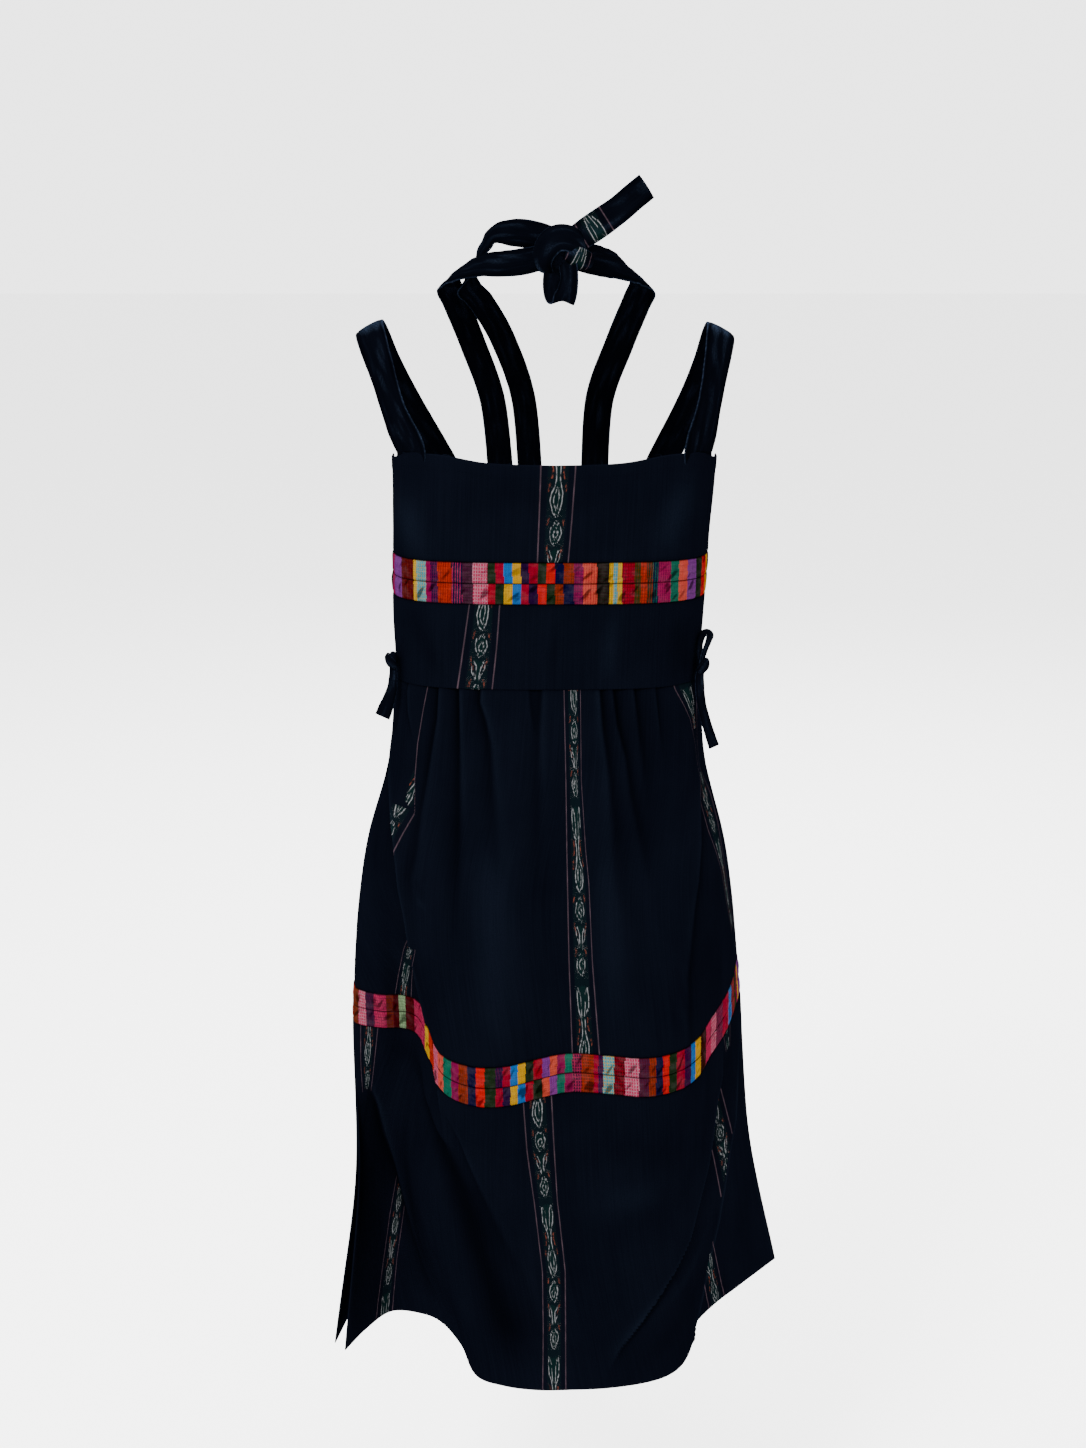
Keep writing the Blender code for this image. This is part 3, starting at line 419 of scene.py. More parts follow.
# How far a ribbon row swells between its seams, and how deep its creases are beside the cloth's own
RIBBON_SWELL, RIBBON_CREASES = 0.0007, 1.2

# Straps and ties: x, y, z of the middle line, width, then the way that the face looks, as its
# azimuth from the back towards +X and its elevation, in degrees
LEFT_STRAP = milli((
    (-140, -60, -75, 28.5, -35, 5), (-152, -47, -38, 28.5, -40, 22), (-163, -22, -10, 28.5, -42, 50),
    (-166.5, 2, -3, 28.5, -90, 62), (-164, 25, -12, 28.5, -138, 48), (-154, 48, -42, 28.5, -145, 24),
    (-136, 70, -82, 28.5, -150, 8),
), 4, 5)
RIGHT_STRAP = milli((
    (144, -60, -75, 28.5, 35, 5), (151, -47, -40, 28.5, 40, 22), (157, -22, -12, 28.5, 42, 50),
    (159, 2, -5, 28.5, 90, 62), (157, 25, -14, 28.5, 138, 48), (150, 48, -44, 28.5, 145, 24),
    (136, 70, -84, 28.5, 150, 8),
), 4, 5)
LEFT_OUTER_TIE = milli((
    (-56, 102, -80, 25, -172, 15), (-74, 76, -23, 25, -160, 30), (-88, 40, 18, 25, -135, 48),
    (-92.5, 7, 36, 25.5, -85, 62), (-79, -18, 48, 26, -50, 50), (-59, -40, 54.5, 24, -35, 32),
    (-40, -56, 56, 24, -25, 20), (-20, -67, 58.5, 23.5, -15, 12), (1, -73, 64, 20, -5, 8),
    (11, -74, 67, 16, 0, 5),
), 4, 5)
LEFT_INNER_TIE = milli((
    (-25.5, 102, -78, 24, 180, 15), (-44, 70, -20, 24, -168, 32), (-63, 34, 17, 24, -140, 48),
    (-75, 6, 34.5, 24, -90, 58), (-65, -11, 57, 24, -55, 40), (-50, -32, 80, 18, -38, 20),
    (-31, -51, 82.5, 24, -22, 8), (-12, -59.5, 80.5, 24, -12, 5), (4, -64, 77, 20, -4, 5),
    (11, -66, 74, 16, 0, 5),
), 4, 5)
RIGHT_TIE = milli((
    (50, 102, -80, 28, 172, 15), (68, 76, -24, 28, 160, 30), (82, 40, 16, 27.5, 135, 48),
    (87, 8, 34, 27.5, 85, 62), (76, -17, 45, 28, 50, 50), (60, -39, 54, 28.5, 35, 30),
    (44, -56, 58.5, 28.5, 24, 18), (28, -67, 62, 25, 14, 10), (13, -72, 67, 16, 0, 5),
), 4, 5)
HALTER_TAIL = milli((
    (13, -74, 69, 20, 0, 10), (26, -80, 79, 24, -5, 15), (42, -83, 89.5, 25, 5, 5),
    (60, -83, 102, 24, -5, 10), (74, -80, 113.5, 23.5, 8, 5), (85, -76, 122, 24, 15, 0),
), 4, 5)
HALTER_LOOP = milli((
    (8.5, -79, 60, 22, 5, 0), (6.5, -80, 44, 24, 10, 0), (7, -81.5, 31, 23, 5, 5),
    (10.5, -86, 24.5, 21, -5, 80), (15, -91.5, 30, 19.5, 160, 5), (17.5, -92, 44, 18.5, 150, 0),
    (16, -86, 60, 17, 160, 0),
), 4, 5)
LEFT_SIDE_TAIL = milli((
    (-148.1, -43, -310.9, 8, -40, 0), (-147.8, -48.5, -323, 9, -30, 10), (-148.8, -50, -335, 10.5, -22, 8),
    (-152, -50, -346, 12.5, -18, 4), (-155.8, -49.5, -356, 14.5, -15, 0), (-159, -49, -364, 15, -15, -4),
), 4, 5)
RIGHT_SIDE_TAIL = milli((
    (144.9, -43, -315.8, 8, 40, 0), (143, -49, -326, 10, 28, 8), (144.5, -50.5, -347, 9.5, 22, 6),
    (149.4, -50, -367, 9.8, 20, 4), (154.2, -49, -382, 10.2, 18, 2), (158.4, -48, -394.3, 11, 16, 0),
), 4, 5)
RIGHT_SIDE_LOOP = milli((
    (145, -47, -311, 7.4, 45, 0), (145.4, -48.5, -306, 7.4, 45, 0), (148, -49.5, -297, 7.6, 45, 0),
    (150.8, -49.5, -288.5, 7.6, 40, 20), (151.8, -49, -283.8, 7.6, 20, 45), (149, -49, -281.5, 7.6, 0, 50),
    (145, -49, -283.5, 7.6, -20, 40), (142.8, -49, -290, 7.6, -45, 0), (142.2, -48.5, -300, 7.6, -45, 0),
    (143.2, -47.5, -309, 7.4, -45, 0),
), 4, 5)
# Where straps and ties are sewn on, and how far their sewn end reaches down, up and inwards
ROOT_LEVEL = -0.1150
ROOT_RISE, ROOT_DEPTH, ROOT_INSIDE = 0.0060, 0.0060, 0.0012
STRAP_HALF = 0.0140
BACK_STRAP_X = (-0.1265, 0.1365)
FRONT_STRAP_X = (-0.1060, 0.1110)
FRONT_TIE_X = (-0.0490, -0.0190, 0.0460)
FRONT_TIE_HALF = (0.0125, 0.0120, 0.0135)
# How steeply up a tie must look before its top is painted lighter, as a painted highlight that is partly
# faded cloth, and how strongly the painted light and shade of its pulled creases show
LIT_AND_NAPPED_FROM, PULLED_TONE = 0.68, 0.20
# Across a strip, as a share of its half width: where its rim and the seam beside it lie
RIM_AT, TIE_SEAM_AT = 0.985, 0.80
# How strong and how wide the highlight painted on a rim is, and the shade painted in the seam's dip
RIM_LIGHT, RIM_WIDTH, TIE_SEAM_DARK, TIE_SEAM_WIDTH = 0.40, 0.035, 0.55, 0.08
# How far a strip's sewn seam dips, as a share of its thickness, and how much of it is left at its ends
TIE_SEAM_DIP, TIE_SEAM_GROOVE, STRIP_END = 0.16, 0.06, 0.35
# Where stitches run: as a share of a hem's width, and in from the edge of a tie
STITCH_SHARE, TIE_STITCH = 0.92, 0.0022
# How far along the ikat repeat a tie's own stripe starts
TIE_FIGURE_START = 0.02

# Knots: centre, then the turns of the tie round it, as x, y, z from the centre, width and facing
HALTER_KNOT = milli((11, -76, 69))
HALTER_KNOT_CORE = milli((19, 13, 19.5))
HALTER_TURNS = milli((
    (
        (-13, -1, -19, 15, -40, -35), (-16.5, -8, -9, 21, -40, -10), (-12, -12, 3, 24, -25, 10),
        (-3, -13, 9.5, 25, -5, 25), (8, -12, 8.5, 24, 20, 22), (16, -8, 3, 20, 45, 10),
        (19, -1, -5, 15, 70, -5),
    ),
    (
        (4, -12.5, -2, 11, 10, -15), (11, -13, -5, 16.5, 25, -15), (17.5, -10, -8, 17.5, 38, -15),
        (22.5, -5, -10, 15, 52, -15), (25, 0, -11, 11, 60, -15),
    ),
), 4, 5)
# Where the ikat lines cross a turn: metres from its middle, and the way to the border line
TURN_STRIPES = (None, (0.0130, 0.0105))
LEFT_SIDE_KNOT = milli((-148.1, -43, -310.9))
RIGHT_SIDE_KNOT = milli((144.9, -43, -315.8))
SIDE_KNOT_CORE = milli((4.7, 5.8, 9.5))
SIDE_TURN = milli((
    (-3, -5.2, -5, 6, -10, -20), (0.5, -6.6, -1, 8.5, 5, 0), (3.8, -5, 3, 8.5, 40, 15),
    (5.5, 0, 4.8, 7, 85, 20), (4, 4.2, 4.2, 5, 130, 20),
), 4, 5)
# Where a knot's core is cut flat, how dented it is, the painted light and shade and the ripple of its
# turns, and the map of its core: a little lighter towards slate, and no hem stitches
KNOT_POLE, KNOT_DENTS, TURN_RIMS, TURN_PULLED, TURN_RIPPLE = 0.12, 0.05, 1.3, 2.0, 0.0004
KNOT_TONE_AND_EDGE = (0.05, 1.0)

# How finely each shell is cut, and the share of a panel at which the rows beside its edges lie
RING_SAMPLES, PLACE_SAMPLES = 361, 200
STRIP_STEPS, STRIP_COLUMNS, TURN_STEPS, TURN_COLUMNS = 14, 17, 8, 13
BODICE_EDGE, SKIRT_EDGE = 0.012, 0.004
# How much of its first and last fold a skirt panel leaves free
SIDE_FREE = 0.0045
# A hem is thicker by this share, which grows over this width. A shell thins to this share at its rim
HEM_FULLNESS, HEM_STEP, RIM_SHARE = 0.38, 0.0012, 0.45

# The stage: the lamps' place, size and power, what they aim at, and the camera
FLOOR, FLOOR_REACH, SKY_LIGHT = -1.39, 30.0, 3.4
LAMPS = (
    ("key", (-1.6, -2.6, 2.6), 1.2, 400.0),
    ("fill", (2.8, -2.2, 1.0), 2.4, 22.0),
    ("over", (0.0, 0.4, 3.0), 2.2, 270.0),
    ("front", (0.6, 3.4, 1.8), 1.6, 205.0),
)
LAMP_AIM = (0.0, 0.0, -0.4)
CAMERA_PLACE = (0.0, -1.75, 0.11)
CAMERA_TILT, CAMERA_LENS, CAMERA_SHIFT, CAMERA_SENSOR = 15.8, 46.0, -0.0041, 36.0


def length(name, about, default):
    return FloatProperty(name=name, description=about, default=default, unit="LENGTH")


def colour(name, about, default):
    return FloatVectorProperty(name=name, description=about, default=default, subtype="COLOR", size=3)


class DressSizes(PropertyGroup):
    """Sizes of the cloth that a user may change."""

    cloth: length("Cloth", "Thickness of the handwoven cotton", 0.0011)
    hem: length("Hem", "Width of the turned hems", 0.0130)
    tie: length("Tie", "Thickness of a folded strap or tie", 0.0024)
    thread: length("Thread", "From one warp thread to the next", 0.00085)
    crinkle: length("Crinkle", "Depth of the small uneven creases", 0.00035)
    pucker: length("Pucker", "Depth of the puckers along the seams", 0.0006)


class DressColours(PropertyGroup):
    """Colours of the cloth that a user may change."""

    navy: colour("Navy", "The handwoven ground", (0.00050, 0.00070, 0.00150))
    # slate is the colour of the painted highlights on ridges, rims and creases, and on the tops of straps and
    # ties, where it is partly faded cloth
    slate: colour("Slate", "Navy where it is napped and faded", yarn(52, 66, 90))
    border: colour("Border", "Lines beside the ikat stripes", yarn(74, 58, 66))
    figure: colour("Figure", "Undyed yarn of the ikat figures", yarn(128, 128, 130))
    leaf: colour("Leaf", "Dark green inside the ikat figures", yarn(8, 26, 25))
    rust: colour("Rust", "Rust yarn in the ikat figures", yarn(112, 54, 40))
    floor: colour("Floor", "The plain floor", (0.90, 0.90, 0.90))


class BandDyes(PropertyGroup):
    """The dyed yarns of the two colour bands."""

    __annotations__ = {
        key: colour(key.replace("_", " ").capitalize(), "Dyed yarn in the colour bands", value)
        for key, value in DYES.items()
    }


class Value:
    """A number on its way through a material's nodes. Python's operators add Math nodes."""

    def __init__(self, finish, socket):
        self.finish, self.socket = finish, socket

    def __abs__(self):
        return self.finish.maths("ABSOLUTE", self)


def add_operator(name, operation):
    setattr(Value, f"__{name}__", lambda self, other: self.finish.maths(operation, self, other))
    setattr(Value, f"__r{name}__", lambda self, other: self.finish.maths(operation, other, self))


for symbol, operation in (("add", "ADD"), ("sub", "SUBTRACT"), ("mul", "MULTIPLY"), ("truediv", "DIVIDE")):
    add_operator(symbol, operation)


class Finish:
    """A material and the nodes that it is made of."""

    def __init__(self, name, shown):
        self.material = bpy.data.materials.new(name)
        self.material.use_nodes = True
        self.material.diffuse_color = (*shown, 1)
        self.tree = self.material.node_tree
        self.shader = self.tree.nodes["Principled BSDF"]

    def feed(self, socket, value):
        if isinstance(value, Value):
            self.tree.links.new(value.socket, socket)
        else:
            socket.default_value = value

    def node(self, kind, settings=None, sockets=None, output=0):
        """Adds a node: its settings come first, then a value or a link for each of its sockets."""
        made = self.tree.nodes.new(kind)
        for key, value in (settings or {}).items():
            if key == "curves":
                for curve, points in zip(made.mapping.curves, value):
                    curve.points[0].location, curve.points[-1].location = points[0], points[-1]
                    for x, y in points[1:-1]:
                        curve.points.new(x, y)
                    for point in curve.points:
                        point.handle_type = "VECTOR"
                made.mapping.update()
            else:
                setattr(made, key, value)
        for key, value in (sockets or {}).items():
            self.feed(made.inputs[key], value)
        return Value(self, made.outputs[output])

    def outputs_of(self, value):
        return [Value(self, socket) for socket in value.socket.node.outputs]

    def maths(self, operation, *values):
        return self.node("ShaderNodeMath", {"operation": operation}, dict(enumerate(values)))

    def mix(self, factor, first, second):
        first, second = [c if isinstance(c, Value) else (*c[:3], 1) for c in (first, second)]
        return self.node("ShaderNodeMix", {"data_type": "RGBA"}, {0: factor, 6: first, 7: second}, 2)

    def soft(self, value, low, high):
        """0 below low, 1 above high and smooth between them, or the other way round."""
        start, end = (0.0, 1.0) if low < high else (1.0, 0.0)
        sockets = {0: value, 1: min(low, high), 2: max(low, high), 3: start, 4: end}
        return self.node("ShaderNodeMapRange", {"interpolation_type": "SMOOTHSTEP"}, sockets)

    def line(self, distance, half, blur):
        """1 within half of the middle of a line, and 0 past its blur."""
        return self.soft(abs(distance), half + blur, half)

    def place(self, uv_map):
        """Both numbers of one of the mesh's own maps."""
        vector = self.node("ShaderNodeUVMap", {"uv_map": uv_map})
        return self.outputs_of(self.node("ShaderNodeSeparateXYZ", None, {0: vector}))[:2]

    def vector(self, x, y):
        return self.node("ShaderNodeCombineXYZ", None, {0: x, 1: y})

    def noise(self, x, y, detail=2.0, seed=0.0):
        place = self.vector(x, y + seed)
        sockets = {"Vector": place, "Scale": 1.0, "Detail": detail, "Roughness": 0.55}
        return self.node("ShaderNodeTexNoise", {"noise_dimensions": "2D"}, sockets)

    def weave(self, u, v, thread):
        """The height of a plain weave with uneven, hand-spun threads."""
        turn = 2 * math.pi / thread
        uneven = self.noise(u * 900, v * 45) - 0.5
        weft_uneven = self.noise(u * 45, v * 900, seed=40.0) - 0.5
        warp = self.maths("SINE", u * turn + uneven * 1.5)
        weft = self.maths("SINE", v * turn * 0.9 + weft_uneven * 1.5)
        return warp * weft * 0.25 + 0.5 + uneven * 0.9 + weft_uneven * 0.9

    def cloth(self, colour, roughness, height, depth):
        """Feeds the shader of a matt cotton cloth."""
        bump = self.node("ShaderNodeBump", None, {"Strength": 0.6, "Distance": depth, "Height": height})
        sockets = {"Base Color": colour, "Roughness": roughness, "Normal": bump, "Specular IOR Level": 0.0}
        for key, value in sockets.items():
            self.feed(self.shader.inputs[key], value)
        return self.material


# How strongly each yarn covers the navy ground
LEAF_AROUND, LEAF_INSIDE, RUST_COVERS, FIGURE_COVERS, BORDER_COVERS = 0.25, 0.60, 0.65, 0.90, 0.80
# How much darker the ties' navy is, as painted shade, how strongly painted highlights show on ties and
# on panels, and how dark the shade painted in folds is
TIE_DARKER, TIE_HIGHLIGHT_AND_NAP, CLOTH_HIGHLIGHT, FOLD_DARK = 0.60, 0.90, 0.16, 0.80
# How far the dye creeps from one thread to the next, and from one stitch of a hem to the next
DYE_CREEP, STITCH = 0.0034, 0.0034
# Half the width of each dyed line and of its blurred edge, as shares of the way to the border line
FIGURE_WIDTH, INNER_WIDTH = (0.012, 0.036), (0.008, 0.032)
RUST_WIDTH, BORDER_WIDTH = (0.024, 0.045), (0.022, 0.035)
# Half the width of a hem's stitches and of their blurred edge
STITCH_WIDTH = (0.00025, 0.0003)
# A matt cloth's least roughness and how much more it has in places, and the depth of its weave
NAVY_ROUGH, RIBBON_ROUGH, NAVY_WEAVE, RIBBON_WEAVE = (0.80, 0.12), (0.78, 0.12), 0.00035, 0.00045
# The ribbon's thread lines: metres from one to the next, down it and across it
WARP_LINES, WEFT_LINES = 0.0024, 0.0031
# How dark the shade painted in the ribbon's creases and at its sewn edges is, and how strongly it is washed
# out and worn
CREASE_DARK, SEWN_DARK, WASHED, WORN = 0.70, 0.80, 0.03, 0.35


def make_navy(name, sizes, colours, lit_and_napped):
    """Navy handwoven cotton with its ikat stripes, and highlights and shade painted where the map says."""
    finish = Finish(name, colours.navy)
    u, v = finish.place("cloth")
    across, along = finish.place("stripe")
    painted_light_and_nap, hem = finish.place("wear")
    clouds = finish.noise(u * 14, v * 9, detail=4.0)
    streaks = finish.noise(u * 700, v * 8, seed=9.0)
    # The ties' copy of the navy is darker: painted shade, against the lamps on their upward faces
    navy = tuple(c * (TIE_DARKER if lit_and_napped else 1.0) for c in colours.navy)
    light = tuple(c * 2.2 + 0.0002 for c in navy)
    ground = finish.mix(clouds * 0.7 + streaks * 0.5 - 0.25, navy, light)
    thread = finish.maths("FLOOR", u / (sizes.thread * 0.8))
    shift = finish.node("ShaderNodeTexWhiteNoise", {"noise_dimensions": "1D"}, {"W": thread})
    phase = finish.maths("FRACT", (along + (shift - 0.5) * DYE_CREEP) / IKAT_REPEAT + 8)
    wander = finish.noise(along * 35, 0.0 * along, seed=3.0) - 0.5
    side = abs(across + wander * 0.24)
    phases = finish.node("ShaderNodeCombineXYZ", None, dict.fromkeys(range(3), phase))
    curves = finish.node("ShaderNodeRGBCurve", {"curves": (OUTLINE, INNER_LINE, RUST_LINE)}, {1: phases})
    outline, inner, rusty = finish.outputs_of(finish.node("ShaderNodeSeparateXYZ", None, {0: curves}))
    broken = finish.soft(finish.noise(across * 7, along * 110, seed=5.0), 0.36, 0.50)
    faint = finish.soft(finish.noise(across * 12, along * 300, seed=7.0), 0.25, 0.70)
    column = finish.soft(abs(across), 0.66, 0.52) * finish.soft(along, -4.0, -3.0)
    lines = finish.line(side - outline, *FIGURE_WIDTH), finish.line(side - inner, *INNER_WIDTH)
    drawn = finish.maths("MAXIMUM", *lines) * broken * column * (faint * 0.6 + 0.4)
    filled = finish.soft(side - outline, 0.02, -0.06) * finish.soft(outline, 0.9, 0.8) * column
    rust = finish.line(side - rusty, *RUST_WIDTH) * column * finish.soft(faint, 0.3, 0.9)
    ground = finish.mix(column * LEAF_AROUND, ground, colours.leaf)
    ground = finish.mix(filled * LEAF_INSIDE, ground, colours.leaf)
    ground = finish.mix(rust * RUST_COVERS, ground, colours.rust)
    ground = finish.mix(drawn * FIGURE_COVERS, ground, colours.figure)
    flecks = finish.soft(finish.noise(u * 500, v * 60, seed=11.0), 0.35, 0.75)
    border = finish.line(abs(across) - 1.0, *BORDER_WIDTH) * (flecks * 0.5 + 0.5)
    ground = finish.mix(border * BORDER_COVERS, ground, colours.border)
    stitched = finish.line(hem - sizes.hem * STITCH_SHARE, *STITCH_WIDTH)
    dashes = finish.soft(finish.maths("SINE", u * (2 * math.pi / STITCH)), -0.2, 0.4)
    fibres = finish.soft(finish.noise(u * 900, v * 380, detail=3.0, seed=21.0), 0.40, 0.62)
    combed = finish.soft(finish.noise(u * 160, v * 1300, detail=2.0, seed=29.0), 0.30, 0.66)
    # A highlight painted on ridges, rims and creases and on the tops of straps and ties
    ridge = finish.maths("MAXIMUM", painted_light_and_nap, 0.0) * (TIE_HIGHLIGHT_AND_NAP if lit_and_napped else CLOTH_HIGHLIGHT)
    hairs = fibres * combed * 0.8 + 0.2 if lit_and_napped else fibres * 0.3 + 0.7
    ground = finish.mix(ridge * hairs, ground, colours.slate)
    # Shade painted in folds, at seams and in the dips beside a tie's rims
    ground = finish.mix(finish.maths("MAXIMUM", painted_light_and_nap * -FOLD_DARK, 0.0), ground, (0, 0, 0))
    height = finish.weave(u, v, sizes.thread) - stitched * dashes * 0.8
    return finish.cloth(ground, NAVY_ROUGH[0] + clouds * NAVY_ROUGH[1], height, NAVY_WEAVE)


def make_ribbon(name, sizes, dyes):
    """The colour band: dyed blocks with thread lines, checks and mottled yarn, and shade painted between its
    threads, in its creases and at its seams.
    """
    finish = Finish(name, dyes.crimson)
    u, v = finish.place("cloth")
    down, level = finish.place("lines")
    lean, edge = finish.place("wear")
    dye, second = (finish.node("ShaderNodeVertexColor", {"layer_name": layer}) for layer in ("dye", "second"))
    uneven = finish.noise(u * 300, v * 30) - 0.5
    warp_line = finish.soft(finish.maths("SINE", u * (2 * math.pi / WARP_LINES) + uneven * 2.5), 0.15, 0.75)
    weft_line = finish.soft(finish.maths("SINE", v * (2 * math.pi / WEFT_LINES) + uneven * 2.0), 0.25, 0.85)
    mottle = finish.soft(finish.noise(u * 260, v * 420, detail=3.0, seed=6.0), 0.42, 0.62)
    lined = finish.maths("MAXIMUM", warp_line * down, weft_line * level)
    colour = finish.mix(lined * (0.55 + mottle * 0.45), dye, second)
    patch = finish.noise(u * 90, v * 120, detail=3.0, seed=12.0)
    colour = finish.mix(finish.soft(patch, 0.35, 0.75) * WASHED, colour, yarn(200, 180, 180))
    worn = finish.soft(finish.noise(u * 60, v * 700, seed=17.0), 0.62, 0.78)
    colour = finish.mix(worn * WORN, colour, (0.01, 0.01, 0.015))
    height = finish.weave(u, v, sizes.thread)
    # Shade painted between the threads of the weave, which also deepens the whole ribbon
    colour = finish.mix(0.62 - height * 0.45, colour, (0, 0, 0))
    # Shade painted in the troughs of the creases and along the sewn edges
    colour = finish.mix(finish.soft(lean, -0.15, -0.60) * CREASE_DARK, colour, (0, 0, 0))
    colour = finish.mix(finish.soft(edge, 0.0014, 0.0002) * SEWN_DARK, colour, (0, 0, 0))
    return finish.cloth(colour, RIBBON_ROUGH[0] + patch * RIBBON_ROUGH[1], height, RIBBON_WEAVE)


def through(keys, values, at):
    """Values on a smooth curve that passes through every row."""
    keys, values, at = (np.asarray(a, float) for a in (keys, values, at))
    slopes = np.gradient(values, keys, axis=0)
    i = np.clip(np.searchsorted(keys, at, side="right") - 1, 0, len(keys) - 2)
    span, t = keys[i + 1] - keys[i], (at - keys[i]) / (keys[i + 1] - keys[i])
    if values.ndim == 2:
        span, t = span[..., None], t[..., None]
    return hermite(values[i], slopes[i], values[i + 1], slopes[i + 1], t, span)


def hermite(first, leave, last, arrive, t, span):
    start, end = (1 + 2 * t) * (1 - t) ** 2, t * t * (3 - 2 * t)
    return start * first + t * (1 - t) ** 2 * span * leave + end * last + t * t * (t - 1) * span * arrive


def ease(t):
    t = np.clip(t, 0.0, 1.0)
    return t * t * (3 - 2 * t)


def bodice_surface(angle, z):
    """Points of the bodice's middle surface. The angle is 0 at the centre back and 90 on +X."""
    angle, z = np.broadcast_arrays(np.asarray(angle, float), np.asarray(z, float))
    table = np.array(BODICE_SECTIONS)
    found = through(table[:, 0], table[:, 1:], z.ravel()).reshape(*z.shape, 4)
    left, right, back, front = np.moveaxis(found, -1, 0)
    across, deep = np.sin(np.radians(angle)), np.cos(np.radians(angle))
    x = (left + right) / 2 + (right - left) / 2 * np.sign(across) * np.abs(across) ** (2 / SQUARENESS)
    y = -np.sign(deep) * np.abs(deep) ** (2 / SQUARENESS) * np.where(deep > 0, back, front)
    return np.stack([x, y, z], axis=-1)


def run_of(points):
    steps = np.linalg.norm(np.diff(points, axis=0), axis=1)
    return np.append(0, np.cumsum(steps))


def even_angles(start, end, count):
    """Angles that cut the bodice's ring into equal lengths of cloth."""
    angles = np.linspace(start, end, RING_SAMPLES)
    run = run_of(bodice_surface(angles, WAIST))
    return np.interp(np.linspace(SEAM * SIDE_SHARE, run[-1] - SEAM * SIDE_SHARE, count), run, angles)


def droop(angle):
    """How much lower a level seam lies at this angle than at the centre back."""
    angle = np.radians(angle)
    return SIDE_DROOP * np.where(np.cos(angle) > 0, np.sin(angle) ** 2, 1.0)


def top_edge(angle, table):
    share = np.abs(np.sin(np.radians(angle))) ** (2 / SQUARENESS)
    keys, heights = zip(*table)
    return through(keys, heights, share)


def angle_of(x, z, front):
    """The angle at which the bodice's ring has this x."""
    table = np.array(BODICE_SECTIONS)
    left, right = through(table[:, 0], table[:, 1:3], z)
    share = (x - (left + right) / 2) / ((right - left) / 2)
    angle = math.degrees(math.asin(math.copysign(abs(share) ** (SQUARENESS / 2), share)))
    return 180 - angle if front else angle


def skirt_surface(places, z, folds, ends):
    """Points of the skirt's middle surface, for places along its folds and rows of heights."""
    last = len(folds) - 1
    angles = np.interp(places / last, np.linspace(0, 1, PLACE_SAMPLES), even_angles(*ends, PLACE_SAMPLES))
    rows = through(np.arange(last + 1), folds, places).reshape(len(places), -1, 2)
    waist = bodice_surface(angles, WAIST)[:, None, :2]
    flare = waist + (rows[:, :1] - waist) * np.array(FLARE_BEGINS)
    levels = np.concatenate([waist, flare, rows], axis=1)
    keys = -np.array(SKIRT_LEVELS)
    slopes = np.gradient(levels, keys, axis=1)
    i = np.clip(np.searchsorted(keys, -z, side="right") - 1, 0, len(keys) - 2)
    span = (keys[i + 1] - keys[i])[..., None]
    t = (-z - keys[i])[..., None] / span
    column = np.arange(len(places))[None, :]
    flat = hermite(
        levels[column, i], slopes[column, i], levels[column, i + 1], slopes[column, i + 1], t, span
    )
    return np.concatenate([flat, z[..., None]], axis=-1), angles


def edge_depth(middle, flat, edges):
    """How far the folded edges take the cloth inwards, and their painted tone: 1 a painted highlight on a
    crest, -1 painted shade at a foot.
    """
    depth, tone = np.zeros((2, *middle.shape[:2]))
    turn = 1 if middle[0, -1, 0] > middle[0, 0, 0] else -1
    for drop, side, reach, opens, fades, path in edges:
        drops_to = DROPS_TO[side]
        x_path, z_path = np.array(path)[::-1].T
        full = min(abs(drop) / EDGE_FULL, EDGE_MOST)
        for row in range(len(middle)):
            x, z, u = middle[row, ::turn, 0], middle[row, :, 2].mean(), flat[row, ::turn, 0]
            if not z_path[0] < z < z_path[-1]:
                continue
            at = np.interp(np.interp(z, z_path, x_path), np.maximum.accumulate(x), u)
            away = (flat[row, :, 0] - at) * turn
            fade = ease((z_path[-1] - z) / opens) * ease((z - z_path[0]) / fades)
            if drops_to:
                away = away * drops_to
                before, after = np.maximum(-away, 0), np.maximum(away, 0)
                way_down = (z_path[-1] - z) / (z_path[-1] - z_path[0])
                softer = EDGE_SOFTENS * ease(way_down) * (fades > SOFTENS_FROM)
                step = 1 / (1 + np.exp(np.clip(-away / (EDGE_SHARP + softer), -40, 40)))
                shape = step * np.exp(-after / reach) - EDGE_RISE * (1 - step) * np.exp(-before / EDGE_CROWN)
                foot = FOOT_DARK * np.exp(-after / (FOOT_WIDTH + softer))
                foot = foot + FOOT_SHADE * np.exp(-after / reach)
                crest = CREST_LIGHT * np.exp(-before / (CREST_WIDTH + softer))
                tone[row] += full * fade * ((1 - step) * crest - step * foot)
            else:
                shape = np.exp(-((away / reach) ** 2))
                narrow = np.exp(-((away / reach / RIDGE_NARROWS) ** 2))
                tone[row] -= math.copysign(RIDGE_TONE, drop) * full * fade * (narrow if drop < 0 else shape)
            depth[row] += drop * fade * shape
    return depth, tone


def crease_depth(points, creases):
    """How far the soft troughs and ridges take the cloth inwards."""
    x, z = points[..., 0], points[..., 2]
    depth = np.zeros(x.shape)
    for x0, z0, x1, z1, trough, half in creases:
        run = np.array([x1 - x0, z1 - z0])
        along = ((x - x0) * run[0] + (z - z0) * run[1]) / (run @ run)
        nearest = np.clip(along, 0, 1)
        away = np.hypot(x - x0 - nearest * run[0], z - z0 - nearest * run[1])
        tapered = np.sin(np.pi * np.clip(nearest * 0.9 + 0.05, 0, 1)) ** 0.7
        depth += trough * tapered * np.exp(-((away / half) ** 2))
    return depth


